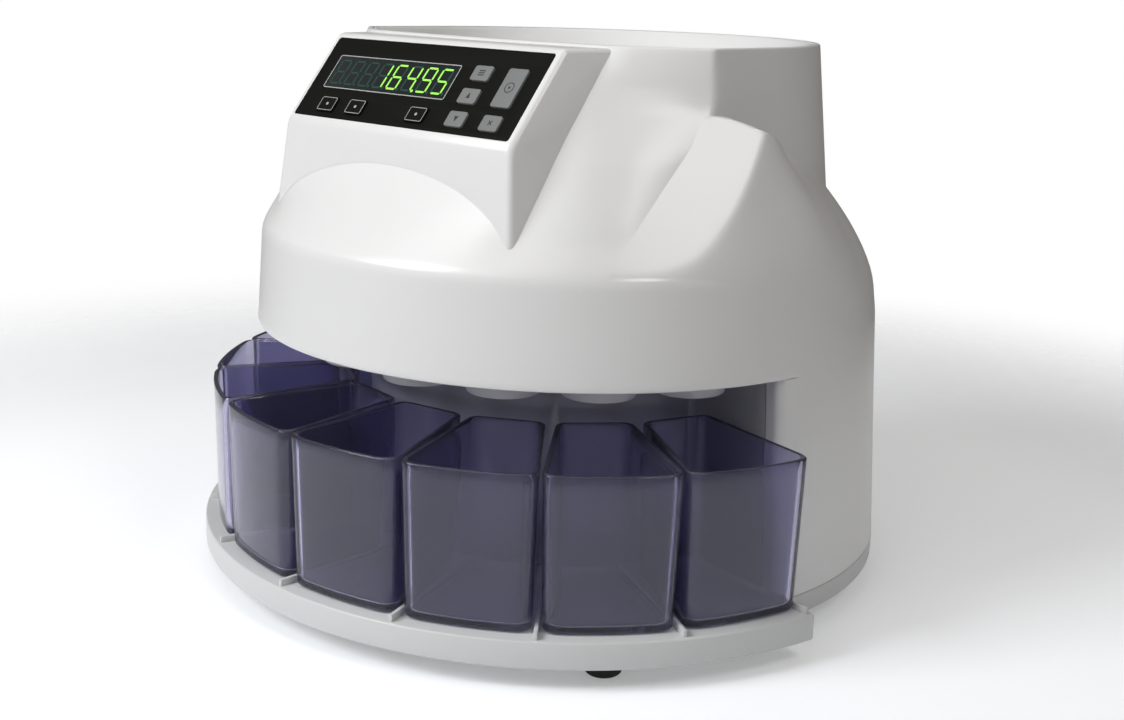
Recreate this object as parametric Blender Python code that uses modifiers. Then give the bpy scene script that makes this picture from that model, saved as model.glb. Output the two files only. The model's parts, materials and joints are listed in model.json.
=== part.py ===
"""Coin counter: a hopper over a turning disc, a sorting plate with eight slots, and eight coin cups.

Metres, +Z up. The front faces -Y. The drum axis is the vertical axis of the round housing.
"""

import math

import bmesh
import bpy
from mathutils import Vector

# Fits shared by all pieces
fit_gap = 0.0003
running_gap = 0.0001
cut_overrun = 0.004
merge_distance = 0.00001

# Base tray
base_radius = 0.1775
base_bottom = 0.010
base_top = 0.022
rear_strip_top = 0.0195
rear_strip_width = 0.0185
base_plate = 0.003
base_skirt = 0.003
bay_half_angle = math.radians(80.5)
rib_width = 0.002
rib_height = 0.003
rib_root = 0.001
rib_end_gap = 0.0015
rib_start_gap = 0.004

# Feet
foot_radius = 0.008
foot_top_radius = 0.0072
foot_chamfer = 0.001
foot_stem_radius = 0.003
foot_stem = 0.004
foot_edge_gap = 0.0205
foot_rear_edge_gap = 0.017
foot_boss_wall = 0.003
foot_angles = {
    "foot_front_right": math.radians(50),
    "foot_front_left": math.radians(-50),
    "foot_rear_right": math.radians(140),
    "foot_rear_left": math.radians(-140),
}

# Housing
housing_wall = 0.0026
band_radius = 0.1513
band_bottom = 0.1176
band_taper_share = 0.054
crease_lift = 0.0187
dome_root_drop = 0.0287
front_height = 0.0906
front_drop = 0.0800
front_flatten, front_flatten_power = 0.351, 1.74
corner_soft, corner_soft_growth = 0.004, 0.046
corner_soft_full_share, corner_soft_power = 0.62, 0.6
ridge_overlap = 0.0015
hopper_radius = 0.1123
hopper_taper_share = 0.104
hopper_setback = 0.0078
front_slope_share = 1.3
crease_end_angle = math.radians(62)
dome_full_angle = math.radians(110)
column_angle = math.radians(84)
column_count = 90
corner_fit_angle = math.radians(2)
lip_corner_angle = math.radians(71)
shoulder_start_angle = math.radians(48.8)
shoulder_facing_angle = math.radians(53)
shoulder_slope_share = 0.532
valley_across_share, valley_back_share = 0.051, 0.952
edge_relief = 0.0006
corner_depth = 0.010
# angle from the front in degrees, then the dome's top as a share of the height from crease to lip
dome_edge_shares = ((60, 0.70), (75.3, 0.6965), (87.8, 0.5916), (100.9, 0.448), (109.8, 0.345), (124, 0.257), (180, 0.158))
# angle from the front in degrees, then how late the dome leans in
dome_powers = ((60, 1.3), (68, 1.4), (71.5, 1.61), (75.5, 2.3), (80, 3.1), (88, 2.8), (98, 2.1), (110, 1.65), (180, 1.65))
housing_row_shares = (0.09, 0.19, 0.29, 0.39, 0.49, 0.59, 0.69, 0.79, 0.9, 1.0)
# angle turned past the column edge and depth reached, as shares of the rounded corner
column_corner_shares = ((0.42, 0.08), (0.76, 0.32), (0.94, 0.66), (1.0, 1.0))
vent_length = 0.040
vent_height = 0.003
vent_pitch = 0.007
vent_count = 5
vent_low = 0.087
rear_opening_width = 0.084
rear_opening_height = 0.044
rear_opening_low = 0.028

# Cup bay
bay_wall = 0.0025
bay_back_radius = 0.097
cheek_gap = 0.0008
spout_plate_thickness = 0.0025
spout_plate_inner_gap = 0.0045

# Coin cups
cup_count = 8
cup_step = math.radians(20)
cup_outer_radius = 0.1727
cup_inner_radius = 0.1073
cup_gap = 0.0011
cup_back_gap = 0.0036
cup_rim_height = 0.0898
cup_rim_rise = 0.0033
cup_wall = 0.0022
cup_draft = 0.0015
cup_corner = 0.0065
cup_back_corner = 0.004
cup_corner_steps = 4

# Chutes
chute_inset = 0.0097
chute_radius = cup_inner_radius + chute_inset
chute_end = 0.1085
chute_end_radius = 0.016
chute_top_radius = 0.0190
chute_wall = 0.0016
chute_flange = 0.0025
chute_flange_thickness = 0.0015
chute_steps = 14

# Sorting plate, rotor and disc
plate_bottom = 0.142
plate_thickness = 0.003
crease_height = plate_bottom + plate_thickness + crease_lift
dome_root_height = crease_height - dome_root_drop
lip_height = crease_height + front_height
plate_edge_gap = 0.0030
slot_reach = 0.013
slot_half_angle = math.radians(5)
slot_smallest = 0.0085
slot_growth = 0.0016
rotor_gap = 0.0006
rotor_blade_height = 0.0034
rotor_hub_height = 0.0061
rotor_hub_radius = 0.020
rotor_blade_width = 0.010
rotor_edge_gap = 0.0100
disc_radius = 0.080
disc_thickness = 0.003
disc_hole_radius = 0.0145
disc_hole_count = 4
disc_hole_circle = 0.054
cap_radius = 0.014
cap_height = 0.017
cap_crown_share, cap_shoulder_share, cap_side_share = 0.6, 0.85, 0.4

# Hopper bowl
bowl_wall = 0.002
bowl_lip_drop = 0.0015
throat_gap = 0.002
throat_collar = 0.0065
throat_height = 0.1570
bowl_columns = 40
bowl_row_shares = (0.0, 0.35, 0.7, 1.0)
bowl_sag_share = 0.25

# Shaft, bearings, chassis and drive
shaft_radius = 0.005
shaft_bottom = 0.117
bearing_wall = 0.004
bearing_flange = 0.003
bearing_flange_thickness = 0.0012
bearing_depth = 0.007
chassis_bottom = 0.124
chassis_thickness = 0.002
chassis_front_gap = 0.001
chassis_rear_radius = 0.118
post_radius = 0.005
post_circle = 0.086
pin_radius = 0.002
gear_module = 0.0025
gear_teeth = 48
pinion_teeth = 12
gear_thickness = 0.006
gear_lift = 0.002
gear_hub_wall = 0.007
gear_hub_height = 0.009
tooth_backlash = 0.0006
tooth_top_share = 0.8
tooth_root_share = 1.1
pressure_angle = math.radians(20)
pinion_shaft_radius = 0.003
pinion_shaft_depth = 0.008
gearbox_radius = 0.024
gearbox_height = 0.020
motor_radius = 0.018
motor_height = 0.050
screw_radius = 0.0016
screw_head_radius = 0.0034
screw_length = 0.010
screw_head_drop = 0.0001

# Electronics in the base
supply_size = Vector((0.045, 0.068, 0.042))
supply_place = Vector((-0.0955, 0.044))
board_thickness = 0.0016
main_board_length = 0.090
main_board_height = 0.072
main_board_place = Vector((0.073, 0.065))
sensor_board_size = Vector((0.040, 0.024))
sensor_board_angle = math.radians(101)
sensor_board_radius = 0.121

# Rear panel
rear_panel_thickness = 0.0025
rear_panel_margin = 0.004
rear_panel_height = 0.060
inlet_size = Vector((0.024, 0.017))
inlet_place_share = -0.55
inlet_depth = 0.018
inlet_wall = 0.0018
connector_flange = 0.0025
connector_flange_thickness = 0.0018
port_size = Vector((0.016, 0.013))
port_place_share = 0.62
port_depth = 0.014
port_wall = 0.0014
switch_size = Vector((0.013, 0.019))
switch_place_share = 0.08
switch_depth = 0.014
switch_wall = 0.0014
rocker_rise = 0.0016
rocker_radius = 0.004
rocker_depth = 0.005
rocker_tilt = math.radians(7)

# Control pod, in its own frame: across, up the tilted face, and out of the face
face_tilt = math.radians(38.3)
face_lift = 0.0699
face_standoff = 0.01330
pod_half_width = 0.0735
pod_half_height = 0.0248
pod_wall = 0.0025
pod_face_wall = 0.0032
chin_drop = 0.042
chin_advance = 0.0035
chin_flare = 0.0045
pod_depth = 0.050
pod_flare_share = 0.26
panel_width = 0.141
panel_height = 0.0439
panel_thickness = 0.0014
panel_corner = 0.0015
panel_ledge = 0.002
window_width = 0.0818
window_height = 0.0177
window_across = -0.0204
window_up = 0.00315
window_thickness = 0.0012
display_margin = 0.001
board_drop = 0.0072
display_board_side_margin = 0.0075
display_board_low = 0.0195
display_board_high = 0.0155
board_hole_margin = 0.0015
key_proud = 0.0009
key_flange = 0.0008
key_flange_thickness = 0.0008
key_stem_radius = 0.0018
key_travel = 0.0006
key_corner = 0.0012
# name, place across and up, and size across and up
keys = (
    ("preset_key_left", -0.0502, -0.0151, 0.0112, 0.0077),
    ("preset_key_middle", -0.0304, -0.0150, 0.0112, 0.0077),
    ("preset_key_right", 0.0106, -0.0150, 0.0112, 0.0077),
    ("mode_key", 0.0355, 0.0089, 0.0109, 0.0076),
    ("up_key", 0.0354, -0.0030, 0.0109, 0.0076),
    ("down_key", 0.0355, -0.0148, 0.0109, 0.0076),
    ("start_key", 0.0560, 0.0029, 0.0113, 0.0195),
    ("clear_key", 0.0563, -0.0149, 0.0108, 0.0076),
)


def clear_scene():
    for old in list(bpy.data.objects):
        bpy.data.objects.remove(old)


clear_scene()
parts = bpy.data.collections.new("coin_counter")
cutters = bpy.data.collections.new("cutters")
for group in (parts, cutters):
    bpy.context.scene.collection.children.link(group)

housing_foot_radius = band_radius + band_taper_share * (band_bottom - rear_strip_top)
drum_axis = bpy.data.objects.new("drum_axis", None)
drum_axis.location.y = (base_radius - housing_foot_radius) / 2
parts.objects.link(drum_axis)


def make_material(name, colour, roughness, metallic=0.0):
    made = bpy.data.materials.new(name)
    made.use_nodes = True
    shader = made.node_tree.nodes["Principled BSDF"]
    shader.inputs["Base Color"].default_value = (*colour, 1.0)
    shader.inputs["Roughness"].default_value = roughness
    shader.inputs["Metallic"].default_value = metallic
    return made


finishes = {
    "white": ((0.80, 0.81, 0.83), 0.25, 0.0),
    "light_grey": ((0.62, 0.63, 0.64), 0.35, 0.0),
    "bay_grey": ((0.66, 0.67, 0.69), 0.20, 0.0),
    "rubber": ((0.02, 0.02, 0.02), 0.80, 0.0),
    "panel_black": ((0.012, 0.012, 0.012), 0.30, 0.0),
    "window": ((0.01, 0.03, 0.03), 0.10, 0.0),
    "key_grey": ((0.30, 0.32, 0.32), 0.45, 0.0),
    "smoke": ((0.10, 0.09, 0.20), 0.12, 0.0),
    "steel": ((0.60, 0.60, 0.60), 0.30, 1.0),
    "brass": ((0.75, 0.58, 0.28), 0.30, 1.0),
    "black_plastic": ((0.03, 0.03, 0.03), 0.45, 0.0),
    "gear_plastic": ((0.80, 0.78, 0.70), 0.45, 0.0),
    "board_green": ((0.02, 0.16, 0.07), 0.40, 0.0),
}


def ray(angle, radius, height):
    """A point at an angle from the front, at a radius from the drum axis."""
    return Vector((radius * math.sin(angle), -radius * math.cos(angle), height))


def add_object(name, mesh, group=parts, parent=drum_axis):
    made = bpy.data.objects.new(name, mesh)
    made.parent = parent
    group.objects.link(made)
    return made


def finish(piece, finish_name, smooth_angle=math.radians(35)):
    """The piece's own material, and smooth shading below the given angle."""
    colour, roughness, metallic = finishes[finish_name]
    piece.data.materials.clear()
    piece.data.materials.append(make_material(piece.name, colour, roughness, metallic))
    piece.data.shade_smooth()
    piece.data.set_sharp_from_angle(angle=smooth_angle)
    return piece


def as_cutter(piece):
    piece.hide_render = True
    piece.display_type = "WIRE"
    for group in list(piece.users_collection):
        group.objects.unlink(piece)
    cutters.objects.link(piece)
    return piece


def boolean(target, other, operation):
    change = target.modifiers.new(operation.lower(), "BOOLEAN")
    change.operation = operation
    change.solver = "EXACT"
    change.object = as_cutter(other)
    return target


def cut(target, *others):
    for other in others:
        boolean(target, other, "DIFFERENCE")
    return target


def join(target, *others):
    for other in others:
        boolean(target, other, "UNION")
    return target


def mesh_from(name, builder):
    mesh = bpy.data.meshes.new(name)
    work = bmesh.new()
    builder(work)
    bmesh.ops.recalc_face_normals(work, faces=work.faces)
    work.to_mesh(mesh)
    work.free()
    return mesh


def plate(name, outline, low, high, holes=(), parent=drum_axis):
    """A flat outline with holes, as a filled 2D curve made into a mesh."""
    curve = bpy.data.curves.new(name, "CURVE")
    curve.dimensions = "2D"
    curve.fill_mode = "BOTH"
    curve.extrude = (high - low) / 2
    for points in (outline, *holes):
        spline = curve.splines.new("POLY")
        spline.points.add(len(points) - 1)
        spline.use_cyclic_u = True
        for point, place in zip(spline.points, points):
            point.co = (place[0], place[1], 0.0, 1.0)
    drawn = bpy.data.objects.new(name, curve)
    parts.objects.link(drawn)
    graph = bpy.context.evaluated_depsgraph_get()
    mesh = bpy.data.meshes.new_from_object(drawn.evaluated_get(graph))
    bpy.data.objects.remove(drawn)
    bpy.data.curves.remove(curve)
    work = bmesh.new()
    work.from_mesh(mesh)
    bmesh.ops.remove_doubles(work, verts=work.verts, dist=merge_distance)
    bmesh.ops.recalc_face_normals(work, faces=work.faces)
    work.to_mesh(mesh)
    work.free()
    made = add_object(name, mesh, parent=parent)
    made.location.z = (low + high) / 2
    return made


def turned(name, profile, steps, parent=drum_axis):
    """A profile of (radius, height) points, outer side from top to bottom, turned about Z."""
    mesh = bpy.data.meshes.new(name)
    points = [(radius, 0.0, height) for radius, height in profile]
    closed = profile[0][0] > 0
    count = len(points)
    edges = [(i, (i + 1) % count) for i in range(count if closed else count - 1)]
    mesh.from_pydata(points, edges, [])
    made = add_object(name, mesh, parent=parent)
    screw = made.modifiers.new("turn", "SCREW")
    screw.steps = steps
    screw.render_steps = steps
    screw.use_merge_vertices = True
    screw.merge_threshold = merge_distance
    screw.use_smooth_shade = True
    return made


def block(name, size, centre, parent=drum_axis):
    def build(work):
        bmesh.ops.create_cube(work, size=1.0)
        bmesh.ops.scale(work, vec=size, verts=work.verts)

    made = add_object(name, mesh_from(name, build), parent=parent)
    made.location = centre
    return made


def rod(name, radius, low, high, steps, centre=(0.0, 0.0), parent=drum_axis):
    made = turned(name, ((0.0, high), (radius, high), (radius, low), (0.0, low)), steps, parent)
    made.location.x, made.location.y = centre
    return made


def circle(radius, steps, centre=(0.0, 0.0), start=0.0):
    turns = [start + 2 * math.pi * step / steps for step in range(steps)]
    return [(centre[0] + radius * math.cos(turn), centre[1] + radius * math.sin(turn)) for turn in turns]


def arc(radius, start, end, steps):
    """Points from one angle to another, both counted from the front."""
    angles = [start + (end - start) * step / steps for step in range(steps + 1)]
    return [ray(angle, radius, 0.0)[:2] for angle in angles]


def rounded_box(width, height, corner, centre=(0.0, 0.0), steps=3):
    points = []
    for quarter, (across, up) in enumerate(((1, 1), (-1, 1), (-1, -1), (1, -1))):
        middle = (centre[0] + across * (width / 2 - corner), centre[1] + up * (height / 2 - corner))
        for step in range(steps + 1):
            turn = math.pi / 2 * (quarter + step / steps)
            points.append((middle[0] + corner * math.cos(turn), middle[1] + corner * math.sin(turn)))
    return points


def loft(work, rings, closed=True):
    """Quads between rings with the same number of points."""
    rows = [[work.verts.new(point) for point in points] for points in rings]
    for lower, upper in zip(rows, rows[1:]):
        last = len(lower) if closed else len(lower) - 1
        for i in range(last):
            j = (i + 1) % len(lower)
            work.faces.new((lower[i], lower[j], upper[j], upper[i]))
    return rows


def solidify(piece, thickness):
    wall = piece.modifiers.new("wall", "SOLIDIFY")
    wall.thickness = thickness
    wall.offset = -1.0
    wall.use_even_offset = True
    return piece


def smooth_step(value):
    value = min(max(value, 0.0), 1.0)
    return value * value * (3 - 2 * value)


def band_radius_at(height):
    return band_radius + band_taper_share * (band_bottom - height)


def room_radius_at(height):
    """The largest round piece that fits in the housing's faceted band."""
    return (band_radius_at(height) - housing_wall) * math.cos(math.pi / column_count) - fit_gap


def hopper_wall_radius(angle, height, inset=0.0):
    """Plan of the hopper wall: a circle behind, straight sides in front of its middle."""
    wall = hopper_radius + hopper_taper_share * (lip_height - height) - inset
    offset = hopper_setback
    round_part = -offset * math.cos(angle) + math.sqrt(wall**2 - (offset * math.sin(angle)) ** 2)
    if -round_part * math.cos(angle) > offset:
        return round_part
    return wall / max(abs(math.sin(angle)), wall / (band_radius * 2))


def soft_min(first, second, soft):
    """The smaller value, with a rounded change from one to the other."""
    share = min(max((second - first) / soft, -1.0), 1.0)
    return (first + second) / 2 - share * (second - first) / 2 - soft * (1 - share**2) / 4


def rise_share(height):
    return max(height - crease_height, 0.0) / (lip_height - crease_height)


def front_radius(angle, height, inset=0.0):
    """The front face: the crease's circle drawn back with height, and flatter towards the lip."""
    crease_radius = band_radius_at(crease_height)
    flatter = front_flatten * rise_share(height) ** front_flatten_power
    arc_radius = crease_radius + flatter
    centre = flatter + front_drop * rise_share(height)
    reach = (arc_radius - inset * front_slope_share) ** 2 - (centre * math.sin(angle)) ** 2
    if reach < 0:
        return 2 * crease_radius
    return -centre * math.cos(angle) + math.sqrt(reach)


def hopper_outline_radius(angle, height, inset=0.0):
    """The hopper wall and the front face, with a corner rounded on the front's side."""
    wall = hopper_wall_radius(angle, height, inset)
    along = min(rise_share(height) / corner_soft_full_share, 1.0)
    soft = corner_soft + corner_soft_growth * along**corner_soft_power
    return min(wall, soft_min(wall + ridge_overlap, front_radius(angle, height, inset), soft))


face_height = crease_height + face_lift
face_frame = bpy.data.objects.new("face_frame", None)
face_frame.parent = drum_axis
face_frame.location = (0.0, -front_radius(0.0, face_height) - face_standoff, face_height)
face_frame.rotation_euler.x = math.pi / 2 - face_tilt
parts.objects.link(face_frame)


def value_at(angle, table):
    """A table's value at an angle, on straight lines between its rows."""
    degrees = abs(math.degrees(angle))
    value = table[0][1]
    for (first, low), (second, high) in zip(table, table[1:]):
        if degrees >= first:
            value = low + (high - low) * min((degrees - first) / (second - first), 1.0)
    return value


def dome_edge(angle):
    """Height at which the dome meets the hopper wall."""
    return crease_height + value_at(angle, dome_edge_shares) * (lip_height - crease_height)


def dome_radius(angle, height):
    behind = smooth_step((abs(angle) - crease_end_angle) / (dome_full_angle - crease_end_angle))
    root = crease_height + (dome_root_height - crease_height) * behind
    top = dome_edge(angle)
    if height <= root:
        return band_radius_at(height)
    if height >= top:
        return hopper_wall_radius(angle, height)
    drop = band_radius_at(root) - hopper_wall_radius(angle, top)
    return band_radius_at(root) - drop * ((height - root) / (top - root)) ** value_at(angle, dome_powers)


def shoulder_radius(angle, height):
    """The flat facet at the front end of each side shoulder."""
    near = band_radius_at(crease_height) * math.cos(shoulder_facing_angle - shoulder_start_angle)
    reach = near - shoulder_slope_share * (height - crease_height)
    turn = abs(angle) - shoulder_facing_angle
    return reach / max(math.cos(turn), reach / (2 * band_radius))


def valley_angle(height):
    """Where the front face ends and the shoulder's facet starts."""
    start = ray(shoulder_start_angle, band_radius_at(crease_height), height)
    rise = height - crease_height
    return math.atan2(start.x + valley_across_share * rise, -start.y - valley_back_share * rise)


def housing_radius(angle, height):
    if height <= crease_height:
        return min(dome_radius(angle, height), band_radius_at(height))
    hopper = hopper_outline_radius(angle, height)
    if abs(angle) < valley_angle(height):
        return hopper
    return max(hopper, min(dome_radius(angle, height), shoulder_radius(angle, height)))


def housing_angles():
    """Even columns, with one moved onto each front corner of the lip."""
    half = column_count // 2
    even = [math.pi * step / half for step in range(-half, half)]
    moved = []
    for angle in even:
        near = math.copysign(lip_corner_angle, angle)
        moved.append(near if abs(angle - near) < corner_fit_angle else angle)
    return moved


def housing_heights():
    band = [band_bottom, dome_root_height, (dome_root_height + crease_height) / 2, crease_height]
    return band + [crease_height + share * (lip_height - crease_height) for share in housing_row_shares]


def column_ring(height, angles):
    """The rear column's plan at one height, with a rounded edge at each end."""
    points = [ray(angle, band_radius_at(height), height) for angle in angles]
    turn = column_angle - bay_half_angle
    for turn_share, depth_share in column_corner_shares:
        angle = column_angle - turn * turn_share
        radius = band_radius_at(height) - corner_depth * depth_share
        points.insert(0, ray(angle, radius, height))
        points.append(ray(-angle, radius, height))
    return points


def build_housing_surface(work):
    angles = housing_angles()
    loft(work, [[ray(a, housing_radius(a, z), z) for a in angles] for z in housing_heights()])
    behind = [a if a > 0 else a + 2 * math.pi for a in angles if abs(a) > column_angle - edge_relief]
    behind.sort()
    floor = rear_strip_top + fit_gap
    lower = [column_ring(z, behind) for z in (floor, (floor + band_bottom) / 2, band_bottom)]
    extra = len(column_corner_shares)
    for point in lower[-1][:extra] + lower[-1][-extra:]:
        point.z -= edge_relief
    loft(work, lower, closed=False)
    bmesh.ops.remove_doubles(work, verts=work.verts, dist=merge_distance)


def face_point(up, out):
    """Drum-frame Y and Z of a point up the tilted face and out of it."""
    y = face_frame.location.y + up * math.sin(face_tilt) - out * math.cos(face_tilt)
    z = face_frame.location.z + up * math.cos(face_tilt) + out * math.sin(face_tilt)
    return y, z


def pod_points(side_inset, face_inset):
    """Corners of the pod's wedge: the tilted face, the chin below it, and the back inside the housing."""
    top_y, top_z = face_point(pod_half_height, 0.0)
    low_y, low_z = face_point(-pod_half_height, 0.0)
    top_z -= side_inset
    top_y += face_inset / math.cos(face_tilt) - side_inset * math.tan(face_tilt)
    low_y += face_inset / math.cos(face_tilt)
    low_z += (face_inset - side_inset) * math.tan(face_tilt) / 2
    chin_y = low_y - chin_advance
    chin_z = low_z - chin_drop
    half = pod_half_width - side_inset
    flare = pod_depth * pod_flare_share
    points = []
    for side in (-1, 1):
        points.append((side * half, top_y, top_z))
        points.append((side * half, low_y, low_z))
        points.append((side * (half + chin_flare), chin_y, chin_z))
        points.append((side * (half + flare), top_y + pod_depth, top_z))
        points.append((side * (half + chin_flare + flare), chin_y + pod_depth, chin_z))
    return points


def pod_wedge(name, side_inset, face_inset):
    def build(work):
        for point in pod_points(side_inset, face_inset):
            work.verts.new(point)
        bmesh.ops.convex_hull(work, input=work.verts)

    return add_object(name, mesh_from(name, build))


def housing_core(name, growth):
    """A solid of the housing's outer form above the band, grown by a gap."""

    def build(work):
        angles = housing_angles()
        rows = []
        for z in housing_heights():
            rows.append([ray(a, housing_radius(a, z) + growth, z) for a in angles])
        rows.append([point + Vector((0.0, 0.0, cut_overrun)) for point in rows[-1]])
        made = loft(work, rows)
        work.faces.new(made[0])
        work.faces.new(made[-1])

    return add_object(name, mesh_from(name, build))


def make_housing():
    housing = add_object("housing", mesh_from("housing", build_housing_surface))
    solidify(housing, housing_wall)
    hole_low = -display_board_low - board_hole_margin
    hole_high = display_board_high + board_hole_margin
    size = Vector((display_board_width() + 2 * board_hole_margin, hole_high - hole_low, pod_depth))
    centre = Vector((0.0, (hole_low + hole_high) / 2, -pod_depth / 2 + cut_overrun))
    cut(housing, block("board_hole", size, centre, parent=face_frame))
    across = Vector((rear_opening_width, base_radius, rear_opening_height))
    rear = Vector((0.0, housing_foot_radius, rear_opening_low + rear_opening_height / 2))
    cut(housing, block("rear_opening", across, rear))
    vent = Vector((vent_length, base_radius, vent_height))
    for row in range(vent_count):
        height = vent_low + row * vent_pitch
        if height + vent_height < band_bottom:
            cut(housing, block(f"vent_{row}", vent, Vector((0.0, housing_foot_radius, height))))
    return finish(housing, "white")


def make_base():
    """A tray under the cups, with a narrower strip under the rear column and a hollow underside."""
    def outline(inset):
        edge = base_radius - inset
        rear = housing_foot_radius - inset
        turn = inset / base_radius
        front_half = bay_half_angle - turn
        front = arc(edge, -front_half, front_half, 26)
        behind = arc(rear, front_half + turn / 4, 2 * math.pi - front_half - turn / 4, 26)
        return front + behind

    base = plate("base_tray", outline(0.0), base_bottom, base_top)
    strip_inner = housing_foot_radius - rear_strip_width
    limits = (bay_half_angle, 2 * math.pi - bay_half_angle)
    strip = arc(base_radius, *limits, 26) + arc(strip_inner, *reversed(limits), 26)
    cut(base, plate("strip_cut", strip, rear_strip_top, base_top + cut_overrun))
    cut(base, plate("pocket", outline(base_skirt), base_bottom - cut_overrun, rear_strip_top - base_plate))
    for name, place in foot_places().items():
        boss_radius = foot_stem_radius + fit_gap + foot_boss_wall
        top = rear_strip_top - base_plate / 2
        join(base, rod(f"{name}_boss", boss_radius, base_bottom + fit_gap, top, 12, place[:2]))
        hole_top = base_bottom + foot_stem + fit_gap
        hole = rod(f"{name}_hole", foot_stem_radius + fit_gap, base_bottom - cut_overrun, hole_top, 12, place[:2])
        cut(base, hole)
    half = cup_count // 2
    for index in range(-half, half + 1):
        start = bay_back_radius + rib_start_gap
        edge_turn = cup_step * half - bay_half_angle + (rib_width / 2 + rib_end_gap) / base_radius
        angle = index * cup_step
        if abs(index) == half:
            start = housing_foot_radius + rib_start_gap
            angle -= math.copysign(max(edge_turn, 0.0), index)
        end = base_radius - rib_end_gap
        size = Vector((rib_width, end - start, rib_height + rib_root))
        rib = block(f"rib_{index + half}", size, ray(angle, (start + end) / 2, base_top + (rib_height - rib_root) / 2))
        rib.rotation_euler.z = angle
        join(base, rib)
    return finish(base, "light_grey")


def foot_places():
    places = {}
    for name, angle in foot_angles.items():
        edge = base_radius - foot_edge_gap if abs(angle) < bay_half_angle else housing_foot_radius - foot_rear_edge_gap
        places[name] = ray(angle, edge, 0.0)
    return places


def make_feet():
    for name, place in foot_places().items():
        top = base_bottom - fit_gap
        stem_top = base_bottom + foot_stem
        profile = (
            (0.0, stem_top),
            (foot_stem_radius, stem_top),
            (foot_stem_radius, top),
            (foot_top_radius, top),
            (foot_radius, foot_chamfer),
            (foot_radius - foot_chamfer, 0.0),
            (0.0, 0.0),
        )
        foot = turned(name, profile, 14)
        foot.location = place
        finish(foot, "rubber")


def make_bay_wall():
    """The back of the cup bay and its two cheeks, one bent wall."""
    def path(height):
        end = band_radius_at(height) - corner_depth - cheek_gap
        half = bay_half_angle
        back = arc(bay_back_radius, -half, half, 20)
        return [(x, y, height) for x, y in (ray(-half, end, 0.0)[:2], *back, ray(half, end, 0.0)[:2])]

    def build(work):
        loft(work, [path(base_top + fit_gap), path(band_bottom)], closed=False)

    mesh = mesh_from("cup_bay_wall", build)
    wall = add_object("cup_bay_wall", mesh)
    face_up = mesh.polygons[len(mesh.polygons) // 2]
    outward = face_up.normal.dot(Vector((face_up.center.x, face_up.center.y, 0.0)))
    if outward < 0:
        mesh.flip_normals()
    solidify(wall, bay_wall)
    return finish(wall, "bay_grey")


def cup_angles():
    first = -(cup_count - 1) / 2
    return [(first + index) * cup_step for index in range(cup_count)]


def make_spout_plate():
    low = band_bottom + fit_gap
    high = low + spout_plate_thickness
    outer = room_radius_at(high)
    inner = bay_back_radius - spout_plate_inner_gap
    half = column_angle
    outline = arc(outer, -half, half, 26) + arc(inner, half, -half, 16)
    hole = chute_end_radius + chute_lean() + fit_gap
    holes = [circle(hole, chute_steps, ray(angle, chute_radius, 0.0)[:2], angle) for angle in cup_angles()]
    made = plate("spout_plate", outline, low, high, holes)
    return finish(made, "light_grey")


def chute_lean():
    """How much a chute's radius grows from its end to the spout plate's top."""
    grown = band_bottom + fit_gap * 2 + spout_plate_thickness - chute_end
    return (chute_top_radius - chute_end_radius) * grown / (plate_bottom - fit_gap - chute_end)


def make_chutes():
    top = plate_bottom - fit_gap
    flange_low = band_bottom + fit_gap * 2 + spout_plate_thickness
    flange_high = flange_low + chute_flange_thickness
    mid = chute_end_radius + chute_lean()
    profile = (
        (chute_top_radius, top),
        (mid, flange_high),
        (mid + chute_flange, flange_high),
        (mid + chute_flange, flange_low),
        (mid, flange_low),
        (chute_end_radius, chute_end),
        (chute_end_radius - chute_wall, chute_end),
        (chute_top_radius - chute_wall, top),
    )
    for index, angle in enumerate(cup_angles()):
        chute = turned(f"chute_{index + 1}", profile, chute_steps)
        chute.location = ray(angle, chute_radius, 0.0)
        chute.rotation_euler.z = angle
        finish(chute, "white")


def cup_outline(inset, outer_radius, inner_radius):
    """Plan of a cup at the front: an arc outside, a flat end inside, rounded corners."""
    sector = math.sin(cup_step / 2)
    outer_half = cup_outer_radius * sector - cup_gap / 2 - inset
    inner_half = cup_inner_radius * sector - cup_back_gap / 2 - inset
    spread = math.asin(outer_half / outer_radius)
    corners = (
        (ray(-spread, outer_radius, 0.0), cup_corner),
        (ray(0.0, outer_radius, 0.0), 0.0),
        (ray(spread, outer_radius, 0.0), cup_corner),
        (Vector((inner_half, -inner_radius, 0.0)), cup_back_corner),
        (Vector((-inner_half, -inner_radius, 0.0)), cup_back_corner),
    )
    points = []
    for index, (corner, radius) in enumerate(corners):
        before = (corners[index - 1][0] - corner).normalized()
        after = (corners[(index + 1) % len(corners)][0] - corner).normalized()
        if radius == 0:
            points.append(corner)
            continue
        for step in range(cup_corner_steps + 1):
            share = step / cup_corner_steps
            start, end = corner + before * radius, corner + after * radius
            points.append(start * (1 - share) ** 2 + corner * 2 * share * (1 - share) + end * share**2)
    return points


def build_cup(work):
    floor = base_top + fit_gap
    middle = (cup_outer_radius + cup_inner_radius) / 2
    rings = []
    for inset, base_height in ((cup_draft, floor), (0.0, cup_rim_height)):
        points = cup_outline(inset, cup_outer_radius - inset, cup_inner_radius + inset)
        rise = cup_rim_rise if inset == 0 else 0.0
        length = cup_outer_radius - cup_inner_radius
        heights = [base_height + rise * (cup_outer_radius + point.y) / length for point in points]
        rings.append([Vector((p.x, p.y + middle, z - floor)) for p, z in zip(points, heights)])
    rows = loft(work, rings)
    work.faces.new(rows[0])


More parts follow.
